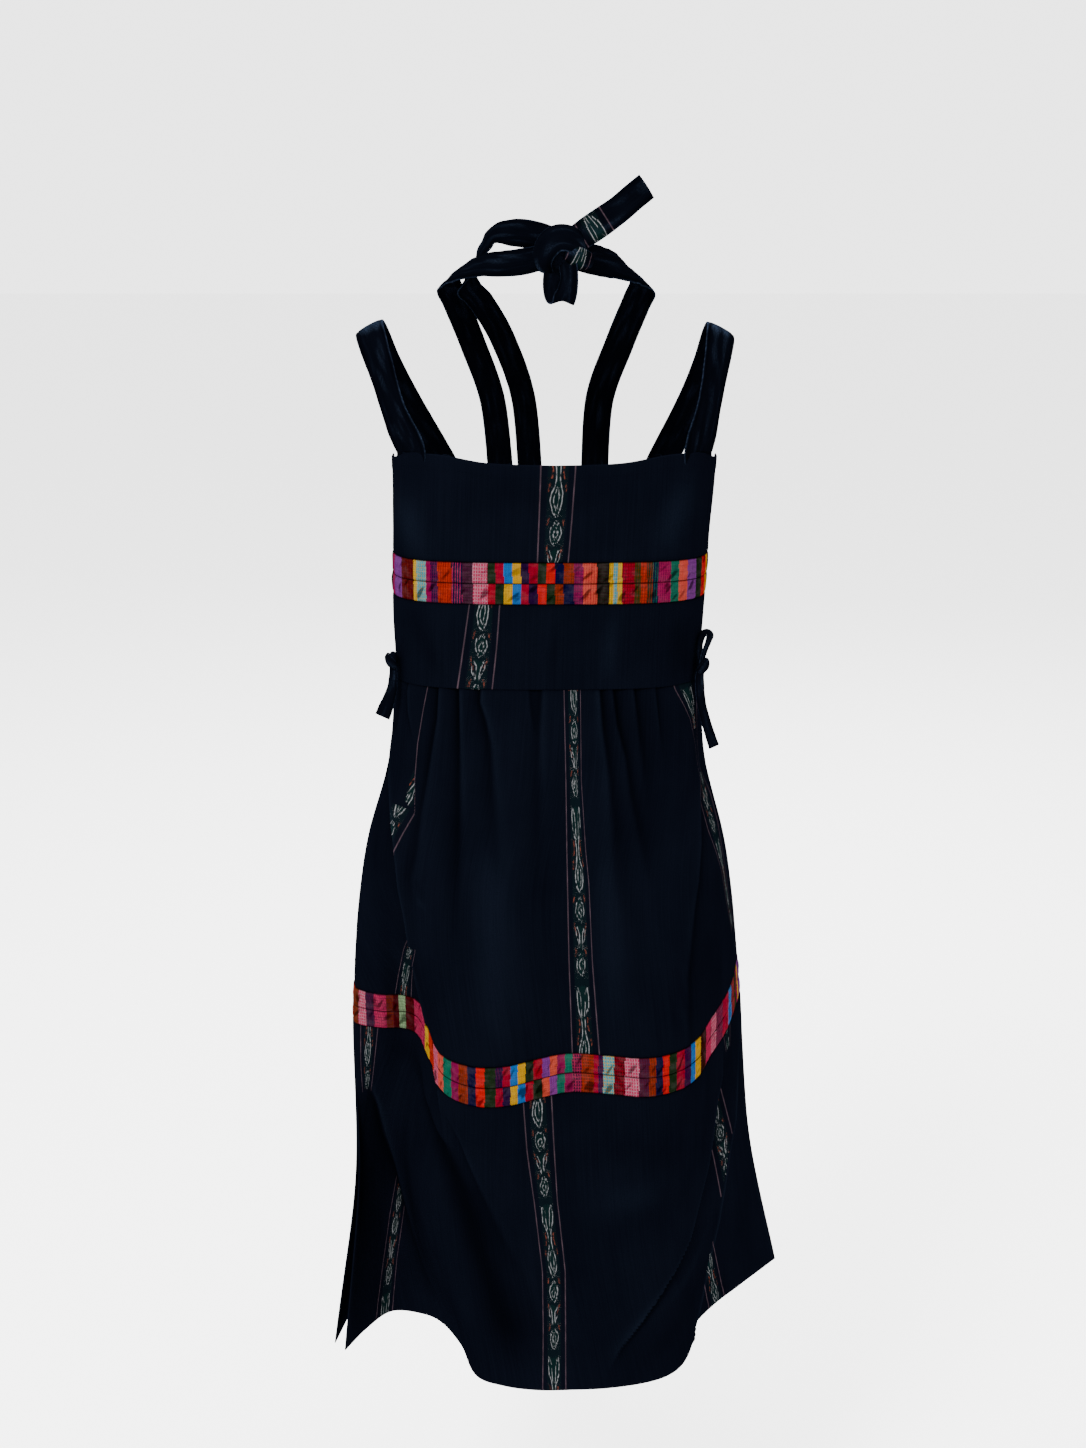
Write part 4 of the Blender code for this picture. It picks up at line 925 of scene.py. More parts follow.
def crinkle(u, v, seed, longest, shortest, waves=9):
    """Small uneven waves over the cloth, from -1 to 1, the same each time for one seed."""
    draw = np.random.default_rng(seed)
    total = np.zeros(np.broadcast_shapes(u.shape, v.shape))
    for _ in range(waves):
        turn, start = draw.uniform(0, 2 * math.pi, 2)
        length = draw.uniform(shortest, longest)
        total += np.sin((u * math.cos(turn) + v * math.sin(turn)) * 2 * math.pi / length + start)
    return total / waves * 1.6


def outward(middle):
    """Unit vectors out of the cloth's outer face."""
    out = np.cross(np.gradient(middle, axis=0), np.gradient(middle, axis=1))
    return out / np.maximum(np.linalg.norm(out, axis=-1, keepdims=True), 1e-12)


def cloth_map(middle):
    """Metres across the cloth from its middle column, and metres down it."""
    steps = np.linalg.norm(np.diff(middle, axis=1), axis=2)
    across = np.concatenate([np.zeros((len(middle), 1)), np.cumsum(steps, axis=1)], axis=1)
    across -= across[:, [middle.shape[1] // 2]]
    drops = np.linalg.norm(np.diff(middle, axis=0), axis=2)
    down = np.concatenate([np.zeros((1, middle.shape[1])), np.cumsum(drops, axis=0)], axis=0)
    return np.stack([across, down], axis=-1)


def squeezed(count, first=0.0, last=1.0, edge=0.0012):
    """Even shares with one more close to each end, so that an edge rounds over."""
    even = np.linspace(0, 1, count)
    return first + (last - first) * np.concatenate([[0, edge], even[1:-1], [1 - edge, 1]])


def stripe_map(middle, faces, stripes):
    """For each corner of each face, the place in its nearest ikat stripe: across it and along it."""
    x, z = np.tile(middle[..., 0].ravel(), 2), np.tile(middle[..., 2].ravel(), 2)
    found = np.zeros((*faces.shape, 2))
    found[..., 0] = NO_STRIPE
    nearest = np.full(len(faces), STRIPE_REACH)
    for start, rows in stripes:
        table = np.array(rows)[::-1]
        left, mid, right, shows, *cut = (np.interp(z, table[:, 0], column) for column in table.T[1:])
        across = np.where(x < mid, (x - mid) / (mid - left), (x - mid) / (right - mid))
        here, shown = np.abs(across[faces]).mean(axis=1), shows[faces].mean(axis=1)
        better = (here < nearest) & (shown > -0.5)
        if cut:
            better &= ((x > cut[0]) & (x < cut[1]))[faces].mean(axis=1) > 0.5
        nearest[better] = here[better]
        found[better, :, 0] = across[faces][better]
        found[better, :, 1] = np.where(shown < 0.5, NO_FIGURE, 0)[better, None] + (-z - start)[faces][better]
    return found


def placed(name, data):
    """A new object of the scene."""
    made = bpy.data.objects.new(name, data)
    bpy.context.scene.collection.objects.link(made)
    return made


def solid(name, verts, faces, material):
    """A smooth mesh of one material, as an object."""
    mesh = bpy.data.meshes.new(name)
    mesh.from_pydata(verts, [], faces)
    mesh.shade_smooth()
    mesh.materials.append(material)
    return placed(name, mesh)


def corner_map(mesh, name, values):
    """Both numbers of a map, for each corner of each face."""
    mesh.uv_layers.new(name=name).data.foreach_set("uv", np.ravel(values))


def shell(name, middle, half, finish, wear, stripes=(), own_stripe=None, blocks=None):
    """A cloth piece: both faces of a sheet at half its thickness each way, closed at its edges."""
    rows, columns = middle.shape[:2]
    out = outward(middle) * half[..., None]
    verts = np.concatenate([(middle + out).reshape(-1, 3), (middle - out).reshape(-1, 3)])
    face = np.arange(rows * columns).reshape(rows, columns)
    under = face + rows * columns
    faces = np.concatenate([np.stack(corners, axis=-1).reshape(-1, 4) for corners in (
        (face[:-1, :-1], face[1:, :-1], face[1:, 1:], face[:-1, 1:]),
        (under[:-1, 1:], under[1:, 1:], under[1:, :-1], under[:-1, :-1]),
        (face[0, :-1], face[0, 1:], under[0, 1:], under[0, :-1]),
        (face[-1, 1:], face[-1, :-1], under[-1, :-1], under[-1, 1:]),
        (face[1:, 0], face[:-1, 0], under[:-1, 0], under[1:, 0]),
        (face[:-1, -1], face[1:, -1], under[1:, -1], under[:-1, -1]),
    )])
    piece = solid(name, verts.tolist(), faces.tolist(), finish)
    # The first number of this map is the painted light and shade, partly faded cloth on the tops of straps and
    # ties; the second is a distance from an edge
    maps = {"cloth": cloth_map(middle), "wear": wear}
    if own_stripe is not None:
        maps["stripe"] = own_stripe
    for key, values in maps.items():
        corner_map(piece.data, key, np.tile(values.reshape(-1, 2), (2, 1))[faces])
    if own_stripe is None:
        corner_map(piece.data, "stripe", stripe_map(middle, faces, stripes))
    if blocks:
        paint_blocks(piece.data, np.tile(ribbon_place(middle).ravel(), 2)[faces].mean(axis=1), blocks)
    return piece


def ribbon_place(middle):
    """Where along the ribbon each point lies: its x, and its length of cloth past the turn of the side."""
    place, run = middle[..., 0].copy(), cloth_map(middle)[..., 0]
    turn = RIBBON_TURN * np.abs(place).max()
    for x, along in zip(place, run):
        centre = np.abs(x).argmin()
        for side in (slice(centre, None), slice(centre, None, -1)):
            line, length = x[side], along[side]
            past = np.abs(line) > turn
            if past.any():
                first = past.argmax()
                line[first:] = np.sign(line[first]) * (turn + np.abs(length[first:] - length[first]))
    return place


def paint_blocks(mesh, x, blocks):
    """Gives each face the dyes and thread lines of the ribbon block that it lies in."""
    dyes = bpy.context.scene.dress_dyes
    edges = np.array([block[0] for block in blocks]) / 1000
    block = np.clip(np.searchsorted(edges, x), 0, len(blocks) - 1)
    for layer, column in (("dye", 1), ("second", 2)):
        colours = np.array([(*getattr(dyes, row[column]), 1) for row in blocks])
        made = mesh.color_attributes.new(name=layer, type="FLOAT_COLOR", domain="CORNER")
        made.data.foreach_set("color", np.repeat(colours[block], 4, axis=0).ravel())
    lines = np.array([row[3:5] for row in blocks]) / 10
    corner_map(mesh, "lines", np.repeat(lines[block], 4, axis=0))


def hand_over(piece, node):
    """Says what a piece moves with, and hides the part that it stands for."""
    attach(piece, "root")
    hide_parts(node)


def finished(piece, node):
    """Hands a piece over."""
    hand_over(piece, node)


def edge_distance(middle, sides):
    """Metres from the nearest of the named edges of a panel."""
    u, v = np.moveaxis(cloth_map(middle), -1, 0)
    away = {"top": v, "bottom": v[-1:] - v, "left": u - u[:, :1], "right": u[:, -1:] - u}
    return np.min([away[side] for side in sides], axis=0)


def panel_thickness(middle, sizes, hemmed):
    """Half the cloth's thickness: doubled over a hem, and rounded off at every edge."""
    half = np.full(middle.shape[:2], sizes.cloth / 2)
    if hemmed:
        half += sizes.cloth * HEM_FULLNESS * ease((sizes.hem - edge_distance(middle, hemmed)) / HEM_STEP)
    rim = np.ones(middle.shape[:2])
    rim[[0, -1], :] = rim[:, [0, -1]] = RIM_SHARE
    return half * rim


def panel(
    node, middle, tone, sizes, colours, hemmed=(), stripes=(), blocks=None
):
    """A panel or ribbon row, with a map of the light and shade painted on it and of its distance from its sewn
    edges.
    """
    sides = ("top", "bottom") if blocks else hemmed
    away = edge_distance(middle, sides) if sides else np.ones(middle.shape[:2])
    finish = ribbon(sizes) if blocks else navy(sizes, colours, False)
    half = panel_thickness(middle, sizes, hemmed)
    wear = np.stack([tone, away], axis=-1)
    piece = shell(node + "_cloth", middle, half, finish, wear, stripes, blocks=blocks)
    finished(piece, node)


def ridges(inwards):
    """1 on a full ridge, where a highlight is painted, and -1 deep in a fold, where shade is painted."""
    return np.clip(-inwards / RIDGE_FULL, -1, 1)


def seam_tone(middle, seams):
    """The shade painted on the cloth where it turns into its seams."""
    return SEAM_DARK * np.exp(-edge_distance(middle, seams) / SEAM_WIDTH)


def puckers(middle, flat, seams, sizes, seed):
    """Short waves that die away from a seam, and the seam's own fold."""
    depth = np.zeros(middle.shape[:2])
    for side in seams:
        away = edge_distance(middle, (side,))
        wave = crinkle(flat[..., 0], flat[..., 1] * 0.15, seed + 3, *PUCKER_WAVES)
        depth += sizes.pucker * (0.7 * wave) * np.exp(-away / PUCKER_REACH)
        depth += sizes.pucker * np.exp(-away / SEAM_FOLD)
    return depth


def seam(height, side):
    """The edge of a bodice panel that is sewn at this height, on its upper (1) or lower (-1) side."""
    return lambda angle: height - droop(angle) + side * SEAM * SEAM_SHARE


def level(height):
    """The edge of a skirt panel that lies level at this height."""
    return lambda angle: height + 0 * angle


def creased_cloth(middle, flat, inwards, waves, seams, sizes, seed):
    """The middle surface, taken in by its folds and creases, its crinkles and its puckered seams."""
    stretch, longest, shortest = waves
    inwards = inwards + sizes.crinkle * crinkle(flat[..., 0], flat[..., 1] * stretch, seed, longest, shortest)
    inwards += puckers(middle, flat, seams, sizes, seed)
    return middle - outward(middle) * inwards[..., None]


def bodice_panel(ends, top, bottom, shape, creases, seams, sizes, seed):
    """The middle surface of a bodice panel, and the light and shade painted on it."""
    angles = even_angles(*ends, PLACE_SAMPLES)
    angles = np.interp(squeezed(shape[1]), np.linspace(0, 1, PLACE_SAMPLES), angles)
    share = squeezed(shape[0], edge=BODICE_EDGE)[:, None]
    z = top(angles) + share * (bottom(angles) - top(angles))
    middle = bodice_surface(angles[None, :] + 0 * share, z)
    inwards = crease_depth(middle, creases)
    tone = np.clip(ridges(inwards) - seam_tone(middle, seams), -1, 1)
    return creased_cloth(middle, cloth_map(middle), inwards, BODICE_WAVES, seams, sizes, seed), tone


# Each side of the skirt: its folds, its part of the waist's ring, its folded edges and its creases
SKIRT_SIDES = {
    "back": (BACK_FOLDS, BACK_RING, BACK_EDGES, BACK_CREASES),
    "front": (FRONT_FOLDS, FRONT_RING, FRONT_EDGES, FRONT_CREASES),
}


def skirt_panel(side, top, bottom, shape, seams, sizes, seed, soft=True):
    """The middle surface of a skirt panel, and the light and shade painted on it. It has soft creases unless
    soft is False.
    """
    folds, ends, edges, creases = SKIRT_SIDES[side]
    places = squeezed(shape[1], SIDE_FREE, len(folds) - 1 - SIDE_FREE)
    _, angles = skirt_surface(places, np.full((1, len(places)), WAIST), folds, ends)
    share = squeezed(shape[0], edge=SKIRT_EDGE)[:, None]
    z = top(angles) + share * (bottom(angles) - top(angles))
    middle, _ = skirt_surface(places, z, folds, ends)
    flat = cloth_map(middle)
    creased = crease_depth(middle, creases if soft else ())
    stepped, tone = edge_depth(middle, flat, edges)
    tone = np.clip(ridges(creased) * CREASE_TONE + tone - seam_tone(middle, seams), -1, 1)
    return creased_cloth(middle, flat, creased + stepped, SKIRT_WAVES, seams, sizes, seed), tone


def ribbon_middle(middle, sizes, seed):
    """A ribbon row: it swells between its sewn edges, and small creases lean across it. Also their lean, by
    which shade is painted in their troughs.
    """
    flat = cloth_map(middle)
    share = np.clip(flat[..., 1] / flat[-1:, :, 1], 0, 1)
    swell = RIBBON_SWELL * np.sin(np.pi * share) ** 0.6
    lean = crinkle(flat[..., 0] + flat[..., 1] * 0.8, flat[..., 1] * 0.5, seed, *LEAN_WAVES, waves=12)
    lean *= np.sin(np.pi * share) ** 0.4
    return middle + outward(middle) * (swell + sizes.crinkle * lean * RIBBON_CREASES)[..., None], lean


def facing(azimuth, elevation):
    """Unit vectors that look this way, with azimuth 0 to the back and 90 to +X."""
    a, e = np.radians(azimuth), np.radians(elevation)
    return np.stack([np.sin(a) * np.cos(e), -np.cos(a) * np.cos(e), np.sin(e)], axis=-1)


def root(x, half, table, front):
    """Where a strap or tie is sewn to the bodice: left edge, middle and right edge."""
    points = []
    for place in (x - half, x, x + half):
        edge = float(top_edge(angle_of(place, ROOT_LEVEL, front), table))
        points.append(bodice_surface(angle_of(place, edge, front), edge))
    return np.array(points)


def root_rows(points):
    """A sewn end as rows of a strip's table: down inside the edge, on it, and straight above it."""
    across = points[2] - points[0]
    x, y, z = points.mean(axis=0)
    azimuth = math.degrees(math.atan2(across[1], across[0]))
    azimuth = azimuth if y < 0 else 180 + azimuth
    width = float(np.linalg.norm(across))
    inside = 1 - ROOT_INSIDE / math.hypot(x, y)
    return [
        (x * inside, y * inside, z - ROOT_DEPTH, width, azimuth, 0),
        (x * inside, y * inside, z, width, azimuth, 0),
        (x, y, z + ROOT_RISE, width, azimuth, 0),
    ]


def strip_middle(rows, steps, columns, curl, seed, ripple):
    """The middle surface of a strap or tie, from its table, a little crowned and rippled."""
    table = np.array([[*row[:4], *facing(*row[4:])] for row in rows])
    keys = np.arange(len(table))
    at = np.linspace(0, len(table) - 1, (len(table) - 1) * steps + 1)
    line = through(keys, table, at)
    path = line[:, :3]
    along = np.gradient(path, axis=0)
    along /= np.linalg.norm(along, axis=1)[:, None]
    across = np.cross(along, line[:, 4:])
    across /= np.linalg.norm(across, axis=1)[:, None]
    face = np.cross(across, along)
    share = np.sin(np.linspace(-0.5, 0.5, columns) * math.pi)[None, :, None]
    half = line[:, None, 3:4] / 2
    run = run_of(path)[:, None]
    wave = ripple * crinkle(run, share[..., 0] * 0.012, seed, *RIPPLE_WAVES)[..., None]
    lift = curl * (1 - share**2) + wave
    return path[:, None] - across[:, None] * share * half + face[:, None] * lift


def across_strip(columns):
    """How far out each column of a strip lies: 0 in its middle and 1 at its rims."""
    return np.abs(np.sin(np.linspace(-0.5, 0.5, columns) * math.pi))


def strip_thickness(middle, thickness):
    """Half the thickness of a folded strip: full in its middle, sewn down near its edges, rounded."""
    share = across_strip(middle.shape[1])
    half = thickness / 2 * np.sqrt(np.clip(1 - share**8, 0.02, 1))
    half -= thickness * TIE_SEAM_DIP * np.exp(-(((share - TIE_SEAM_AT) / TIE_SEAM_GROOVE) ** 2))
    ends = np.ones((middle.shape[0], 1))
    ends[[0, -1]] = STRIP_END
    return half[None, :] * ends


def pulled(flat_map, seed):
    """Lighter and darker streaks along a tie: the painted light and shade of creases where it is pulled tight.
    """
    return crinkle(flat_map[..., 1] * 0.2, flat_map[..., 0], seed, *PULLED_WAVES)


def rims(columns):
    """The tone across a strip: a highlight is painted on its folded rims, and shade where the cloth beside
    them dips.
    """
    share = across_strip(columns)
    dip = TIE_SEAM_DARK * np.exp(-(((share - TIE_SEAM_AT) / TIE_SEAM_WIDTH) ** 2))
    return RIM_LIGHT * np.exp(-(((share - RIM_AT) / RIM_WIDTH) ** 2)) - dip


def tie_stripe(flat_map, stripe_at):
    """The map of a stripe that runs across a tie, or of none: the place across it and along it."""
    across = np.full(flat_map.shape[:2], NO_STRIPE)
    if stripe_at:
        across = (flat_map[..., 1] - stripe_at[0]) / stripe_at[1]
    return np.stack([across, flat_map[..., 0] + TIE_FIGURE_START], axis=-1)


def strip(node, rows, finish, sizes, seed, thickness=None, curl=0.0010, ripple=0.0004,
          stripe_at=None, lit_and_napped=0.3):
    """A strap, tie or tail, shaped as a flat folded tube, and handed over."""
    middle = strip_middle(rows, STRIP_STEPS, STRIP_COLUMNS, curl, seed, ripple)
    flat_map = cloth_map(middle)
    # The tops that face up are painted lighter: a painted highlight of the light from above, partly faded
    # cloth
    painted_light_and_nap = lit_and_napped * ease((outward(middle)[..., 2] - LIT_AND_NAPPED_FROM) / (1 - LIT_AND_NAPPED_FROM))
    painted_light_and_nap *= 0.75 + 0.25 * crinkle(flat_map[..., 0], flat_map[..., 1], seed + 9, *LIT_AND_NAPPED_WAVES)
    edge = np.minimum(flat_map[..., 0] - flat_map[:, :1, 0], flat_map[:, -1:, 0] - flat_map[..., 0])
    # Adds the highlight painted on the rims, the shade painted in the seams' dips and the painted light and
    # shade of pulled creases
    painted_light_and_nap = np.clip(painted_light_and_nap + rims(STRIP_COLUMNS) + PULLED_TONE * pulled(flat_map, seed + 5), -1, 1)
    wear = np.stack([painted_light_and_nap, edge + sizes.hem * STITCH_SHARE - TIE_STITCH], axis=-1)
    half = strip_thickness(middle, thickness or sizes.tie)
    piece = shell(node + "_cloth", middle, half, finish, wear, own_stripe=tie_stripe(flat_map, stripe_at))
    finished(piece, node)


def lump(node, centre, core, turns, stripes, finish, seed, curl, thickness):
    """A pulled knot: a rounded core and the turns of the tie that lie round it, in one piece."""
    around = np.linspace(0, 2 * math.pi, 33)[:-1]
    down = np.linspace(KNOT_POLE, math.pi - KNOT_POLE, 17)
    a, d = np.meshgrid(around, down)
    ball = np.stack([np.cos(a) * np.sin(d), np.sin(a) * np.sin(d), np.cos(d)], axis=-1)
    dents = 1 + KNOT_DENTS * crinkle(a, d, seed, *DENT_WAVES)
    verts = (np.array(centre) + ball * dents[..., None] * np.array(core)).reshape(-1, 3)
    ring = np.arange(a.size).reshape(a.shape)
    beside = np.roll(ring, -1, axis=1)
    faces = np.stack([ring[:-1], ring[1:], beside[1:], beside[:-1]], axis=-1).reshape(-1, 4).tolist()
    faces += [ring[0].tolist(), ring[-1][::-1].tolist()]
    piece = solid(node + "_cloth", verts, faces, finish)
    corners = np.array([loop.vertex_index for loop in piece.data.loops])
    flat = np.stack([a * core[0], d * core[2]], axis=-1).reshape(-1, 2)
    for key, values in (
        ("cloth", flat[corners]),
        ("wear", np.tile(KNOT_TONE_AND_EDGE, (len(corners), 1))),
        ("stripe", np.tile((NO_STRIPE, 0.0), (len(corners), 1))),
    ):
        corner_map(piece.data, key, values)
    parts = [piece]
    for i, (turn, stripe_at) in enumerate(zip(turns, stripes)):
        rows = [tuple(np.array(row[:3]) + centre) + tuple(row[3:]) for row in turn]
        middle = strip_middle(rows, TURN_STEPS, TURN_COLUMNS, curl, seed + i, TURN_RIPPLE)
        flat_map = cloth_map(middle)
        # The highlight painted on the rims and the painted light and shade of pulled creases
        tone = rims(TURN_COLUMNS) * TURN_RIMS + PULLED_TONE * TURN_PULLED * pulled(flat_map, seed + 5)
        tone = np.clip(tone, -1, 1)
        wear = np.stack([tone, np.ones_like(tone)], axis=-1)
        half = strip_thickness(middle, thickness)
        own = tie_stripe(flat_map, stripe_at)
        parts.append(shell(f"{piece.name}_turn_{i}", middle, half, finish, wear, own_stripe=own))
    chosen = {"active_object": piece, "selected_editable_objects": parts, "selected_objects": parts}
    with bpy.context.temp_override(**chosen):
        bpy.ops.object.join()
    hand_over(piece, node)


class DressOperator:
    """What the dress's operators share."""

    bl_options = {"REGISTER", "UNDO"}

    def execute(self, context):
        self.make(context.scene.dress_sizes, context.scene.dress_colours)
        return {"FINISHED"}


def navy(sizes, colours, lit_and_napped):
    """The navy cloth of the panels, or of the straps and ties: each is made once."""
    name = "navy_tie_lit_and_napped" if lit_and_napped else "navy_cloth_woven"
    return bpy.data.materials.get(name) or make_navy(name, sizes, colours, lit_and_napped)


def ribbon(sizes):
    """The cloth of the colour bands: it is made once."""
    name = "colour_band_woven"
    return bpy.data.materials.get(name) or make_ribbon(name, sizes, bpy.context.scene.dress_dyes)


class DRESS_OT_back_yokes(DressOperator, Operator):
    """Makes the upper and lower yoke panels of the back bodice"""

    bl_idname = "dress.back_yokes"
    bl_label = "Back yokes"

    def make(self, sizes, colours):
        middle, tone = bodice_panel(BACK_RING, lambda angle: top_edge(angle, BACK_TOP_EDGE),
                                    seam(BAND_TOP, 1), (42, 220), BACK_BODICE_CREASES, ("bottom",), sizes, 11)
        panel("back_yoke_upper", middle, tone, sizes, colours,
              hemmed=("top",), stripes=YOKE_UPPER_STRIPES)
        middle, tone = bodice_panel(BACK_RING, seam(BAND_BOTTOM, -1), seam(WAIST - WAIST_GAP, 1), (40, 220),
                                    BACK_BODICE_CREASES, ("top",), sizes, 12)
        panel("back_yoke_lower", middle, tone, sizes, colours,
              stripes=YOKE_LOWER_STRIPES)


class DRESS_OT_front_bodice(DressOperator, Operator):
    """Makes the plain front bodice"""

    bl_idname = "dress.front_bodice"
    bl_label = "Front bodice"

    def make(self, sizes, colours):
        middle, tone = bodice_panel(FRONT_RING, lambda angle: top_edge(angle, FRONT_TOP_EDGE),
                                    seam(WAIST - WAIST_GAP, 1), (70, 180), FRONT_BODICE_CREASES, ("bottom",),
                                    sizes, 13)
        panel("front_bodice", middle, tone, sizes, colours,
              hemmed=("top",), stripes=FRONT_BODICE_STRIPES)


class DRESS_OT_bodice_band(DressOperator, Operator):
    """Makes the two ribbon rows of the back bodice's colour band"""

    bl_idname = "dress.bodice_band"
    bl_label = "Bodice band"

    def make(self, sizes, colours):
        for row, top, bottom, blocks, seed in (
            ("upper", BAND_TOP, BAND_MIDDLE, MIDDLE_BLOCKS, 21),
            ("lower", BAND_MIDDLE, BAND_BOTTOM, MIDDLE_BLOCKS_TURNED, 22),
        ):
            middle, _ = bodice_panel(BACK_RING, seam(top, -1), seam(bottom, 1), (12, 420), (),
                                     ("top", "bottom"), sizes, seed)
            middle, lean = ribbon_middle(middle, sizes, seed)
            panel(f"back_band_{row}_row", middle, lean, sizes,
                  colours, blocks=LEFT_BLOCKS + blocks + RIGHT_BLOCKS)


class DRESS_OT_skirt_upper(DressOperator, Operator):
    """Makes the pleated upper tier of the skirt"""

    bl_idname = "dress.skirt_upper"
    bl_label = "Skirt, upper tier"

    def make(self, sizes, colours):
        for side, shape, stripes, seed, rests_on in (
            ("back", (118, 400), BACK_UPPER_STRIPES, 31, "back_yoke_lower_cloth"),
            ("front", (84, 260), FRONT_UPPER_STRIPES, 32, "front_bodice_cloth"),
        ):
            middle, tone = skirt_panel(side, seam(WAIST, -1), level(SKIRT_BAND_TOP), shape, ("top", "bottom"),
                                       sizes, seed)
            panel(f"skirt_upper_{side}", middle, tone, sizes, colours,
                  stripes=stripes)


class DRESS_OT_skirt_band(DressOperator, Operator):
    """Makes the two ribbon rows of the skirt's colour band, at its back and its front"""

    bl_idname = "dress.skirt_band"
    bl_label = "Skirt band"

    def make(self, sizes, colours):
        for row, top, bottom, blocks, seed in (
            ("upper", SKIRT_BAND_TOP, SKIRT_BAND_MIDDLE, SKIRT_MIDDLE_BLOCKS, 41),
            ("lower", SKIRT_BAND_MIDDLE, SKIRT_BAND_BOTTOM, SKIRT_MIDDLE_BLOCKS_TURNED, 43),
        ):
            for side, columns, width in (("back", 620, 0.640), ("front", 480, 0.560)):
                middle, _ = skirt_panel(side, level(top), level(bottom), (12, columns), ("top", "bottom"),
                                        sizes, seed, soft=False)
                middle, lean = ribbon_middle(middle, sizes, seed)
                panel(f"skirt_band_{row}_row_{side}", middle, lean,
                      sizes, colours,
                      blocks=SKIRT_LEFT_BLOCKS + blocks + SKIRT_RIGHT_BLOCKS)


class DRESS_OT_skirt_lower(DressOperator, Operator):
    """Makes the hemmed lower tier of the skirt, open at its side slits"""

    bl_idname = "dress.skirt_lower"
    bl_label = "Skirt, lower tier"

    def make(self, sizes, colours):
        for side, shape, stripes, seed, width in (
            ("back", (108, 300), BACK_LOWER_STRIPES, 51, 0.680),
            ("front", (80, 220), FRONT_LOWER_STRIPES, 52, 0.640),
        ):
            middle, tone = skirt_panel(side, level(SKIRT_BAND_BOTTOM), level(HEM), shape, ("top",), sizes,
                                       seed)
            panel(f"skirt_lower_{side}", middle, tone,
                  sizes, colours, hemmed=("bottom", "left", "right"), stripes=stripes)


class DRESS_OT_straps(DressOperator, Operator):
    """Makes the two shoulder straps"""

    bl_idname = "dress.straps"
    bl_label = "Shoulder straps"

    def make(self, sizes, colours):
        for side, rows, i in (("left", LEFT_STRAP, 0), ("right", RIGHT_STRAP, 1)):
            back = root(BACK_STRAP_X[i], STRAP_HALF, BACK_TOP_EDGE, False)
            front = root(FRONT_STRAP_X[i], STRAP_HALF, FRONT_TOP_EDGE, True)
            strip(f"shoulder_strap_{side}", (*root_rows(back), *rows, *reversed(root_rows(front))),
                  navy(sizes, colours, True), sizes, 61 + i,
                  ripple=0.0003, lit_and_napped=1.0)


class DRESS_OT_halter(DressOperator, Operator):
    """Makes the halter ties, their knot behind the neck, its hanging loop and its free tail"""

    bl_idname = "dress.halter"
    bl_label = "Halter"

    def make(self, sizes, colours):
        tie = navy(sizes, colours, True)
        for i, (node, rows, length) in enumerate((
            ("halter_tie_left_outer", LEFT_OUTER_TIE, 0.430),
            ("halter_tie_left_inner", LEFT_INNER_TIE, 0.430),
            ("halter_tie_right", RIGHT_TIE, 0.410),
        )):
            front = root(FRONT_TIE_X[i], FRONT_TIE_HALF[i], FRONT_TOP_EDGE, True)
            strip(node, (*root_rows(front), *rows), tie, sizes, 71 + i,
                  ripple=0.0009, curl=0.0016)
        strip("halter_tail", HALTER_TAIL, tie, sizes, 74,
              ripple=0.0007, stripe_at=(0.034, 0.0130))
        strip("halter_loop", HALTER_LOOP, tie, sizes, 75,
              ripple=0.0008)
        lump("halter_knot", HALTER_KNOT, HALTER_KNOT_CORE, HALTER_TURNS, TURN_STRIPES, tie, 76, curl=0.0022,
             thickness=0.0040)


class DRESS_OT_side_ties(DressOperator, Operator):
    """Makes the knotted ties at both sides of the waist"""

    bl_idname = "dress.side_ties"
    bl_label = "Side ties"

    def make(self, sizes, colours):
        tie = navy(sizes, colours, True)
        mirrored = tuple((-x, y, z, w, -a, e) for x, y, z, w, a, e in SIDE_TURN)
        for side, centre, turn in (("left", LEFT_SIDE_KNOT, mirrored), ("right", RIGHT_SIDE_KNOT, SIDE_TURN)):
            lump(f"side_knot_{side}", centre, SIDE_KNOT_CORE, (turn,), (None,), tie, 81, curl=0.0010,
                 thickness=0.0022)
        for piece, side, rows, flat, ripple in (
            ("tail", "left", LEFT_SIDE_TAIL, (0.0115, 0.056), 0.0005),
            ("tail", "right", RIGHT_SIDE_TAIL, (0.0100, 0.080), 0.0005),
            ("loop", "right", RIGHT_SIDE_LOOP, (0.0100, 0.078), 0.00025),
        ):
            strip(f"side_{piece}_{side}", rows, tie, sizes, 82,
                  thickness=0.0018, curl=0.0005, ripple=ripple)


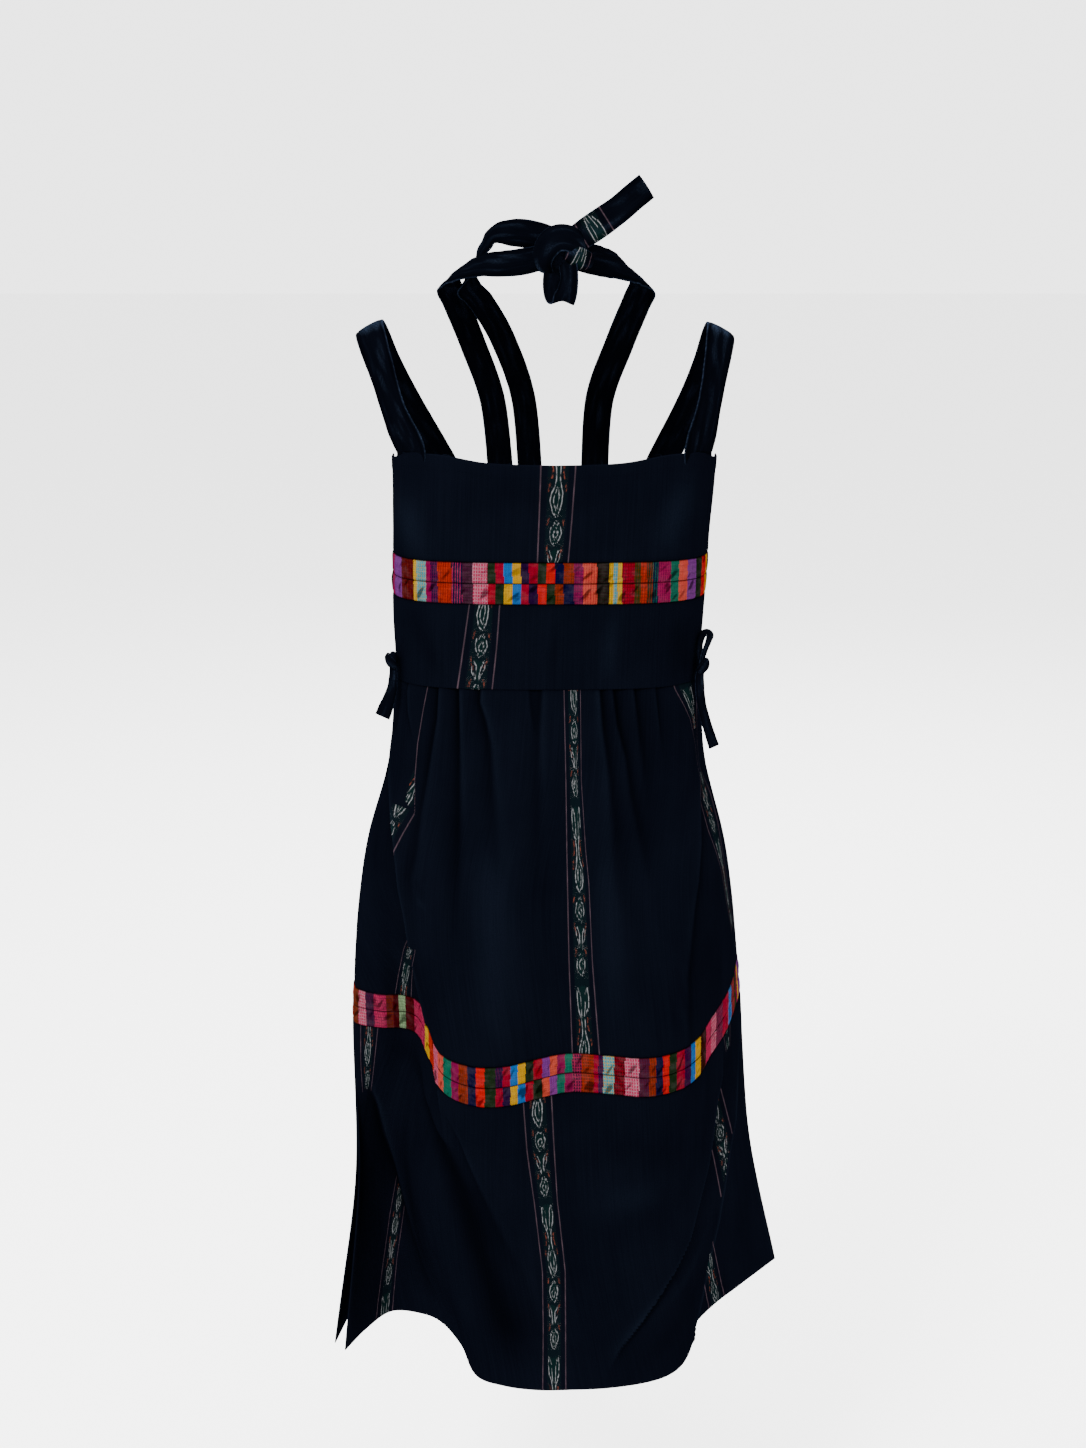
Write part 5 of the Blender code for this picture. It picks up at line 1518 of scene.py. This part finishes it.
class DRESS_OT_stage(DressOperator, Operator):
    """Makes the plain floor, the soft studio light and the camera"""

    bl_idname = "dress.stage"
    bl_label = "Stage"

    def make(self, sizes, colours):
        ground = Finish("plain_floor", colours.floor)
        ground.feed(ground.shader.inputs["Base Color"], (*colours.floor, 1))
        ground.feed(ground.shader.inputs["Roughness"], 0.9)
        corners = [(x * FLOOR_REACH, y * FLOOR_REACH, FLOOR) for x, y in ((-1, -1), (1, -1), (1, 1), (-1, 1))]
        solid("floor", corners, [(0, 1, 2, 3)], ground.material)
        world = bpy.data.worlds.new("studio")
        bpy.context.scene.world = world
        world.use_nodes = True
        sky = world.node_tree.nodes["Background"].inputs
        sky["Color"].default_value, sky["Strength"].default_value = (1.0, 1.0, 1.0, 1), SKY_LIGHT
        for name, place, size, power in LAMPS:
            light = bpy.data.lights.new(name, "AREA")
            light.shape, light.size, light.energy = "DISK", size, power
            lamp = placed(name, light)
            lamp.location = place
            x, y, z = np.array(LAMP_AIM) - np.array(place)
            lamp.rotation_euler = math.atan2(math.hypot(x, y), -z), 0.0, math.atan2(y, x) - math.pi / 2
        lens = bpy.data.cameras.new("camera")
        lens.lens, lens.sensor_width, lens.shift_x = CAMERA_LENS, CAMERA_SENSOR, CAMERA_SHIFT
        camera = placed("camera", lens)
        camera.location = CAMERA_PLACE
        camera.rotation_euler = (math.radians(90 - CAMERA_TILT), 0.0, 0.0)
        bpy.context.scene.camera = camera


OPERATORS = (
    DRESS_OT_stage,
    DRESS_OT_back_yokes,
    DRESS_OT_front_bodice,
    DRESS_OT_bodice_band,
    DRESS_OT_skirt_upper,
    DRESS_OT_skirt_band,
    DRESS_OT_skirt_lower,
    DRESS_OT_straps,
    DRESS_OT_halter,
    DRESS_OT_side_ties,
)


class DRESS_PT_panel(Panel):
    """Lists the dress's pieces, sizes and colours"""

    bl_label = "Handwoven halter dress"
    bl_idname = "DRESS_PT_panel"
    bl_space_type = "VIEW_3D"
    bl_region_type = "UI"
    bl_category = "Dress"

    def draw(self, context):
        for group in (context.scene.dress_sizes, context.scene.dress_colours, context.scene.dress_dyes):
            box = self.layout.box()
            for key in group.bl_rna.properties.keys():
                if key not in ("rna_type", "name"):
                    box.prop(group, key)
        for operator in OPERATORS:
            self.layout.operator(operator.bl_idname)


CLASSES = (DressSizes, DressColours, BandDyes, *OPERATORS, DRESS_PT_panel)


def register():
    for each in CLASSES:
        bpy.utils.register_class(each)
    groups = {"dress_sizes": DressSizes, "dress_colours": DressColours, "dress_dyes": BandDyes}
    for name, group in groups.items():
        setattr(bpy.types.Scene, name, PointerProperty(type=group))


def unregister():
    for name in ("dress_dyes", "dress_colours", "dress_sizes"):
        delattr(bpy.types.Scene, name)
    for each in reversed(CLASSES):
        bpy.utils.unregister_class(each)


def main():
    register()
    for operator in OPERATORS:
        group, name = operator.bl_idname.split(".")
        getattr(getattr(bpy.ops, group), name)()


if __name__ == "__main__":
    main()
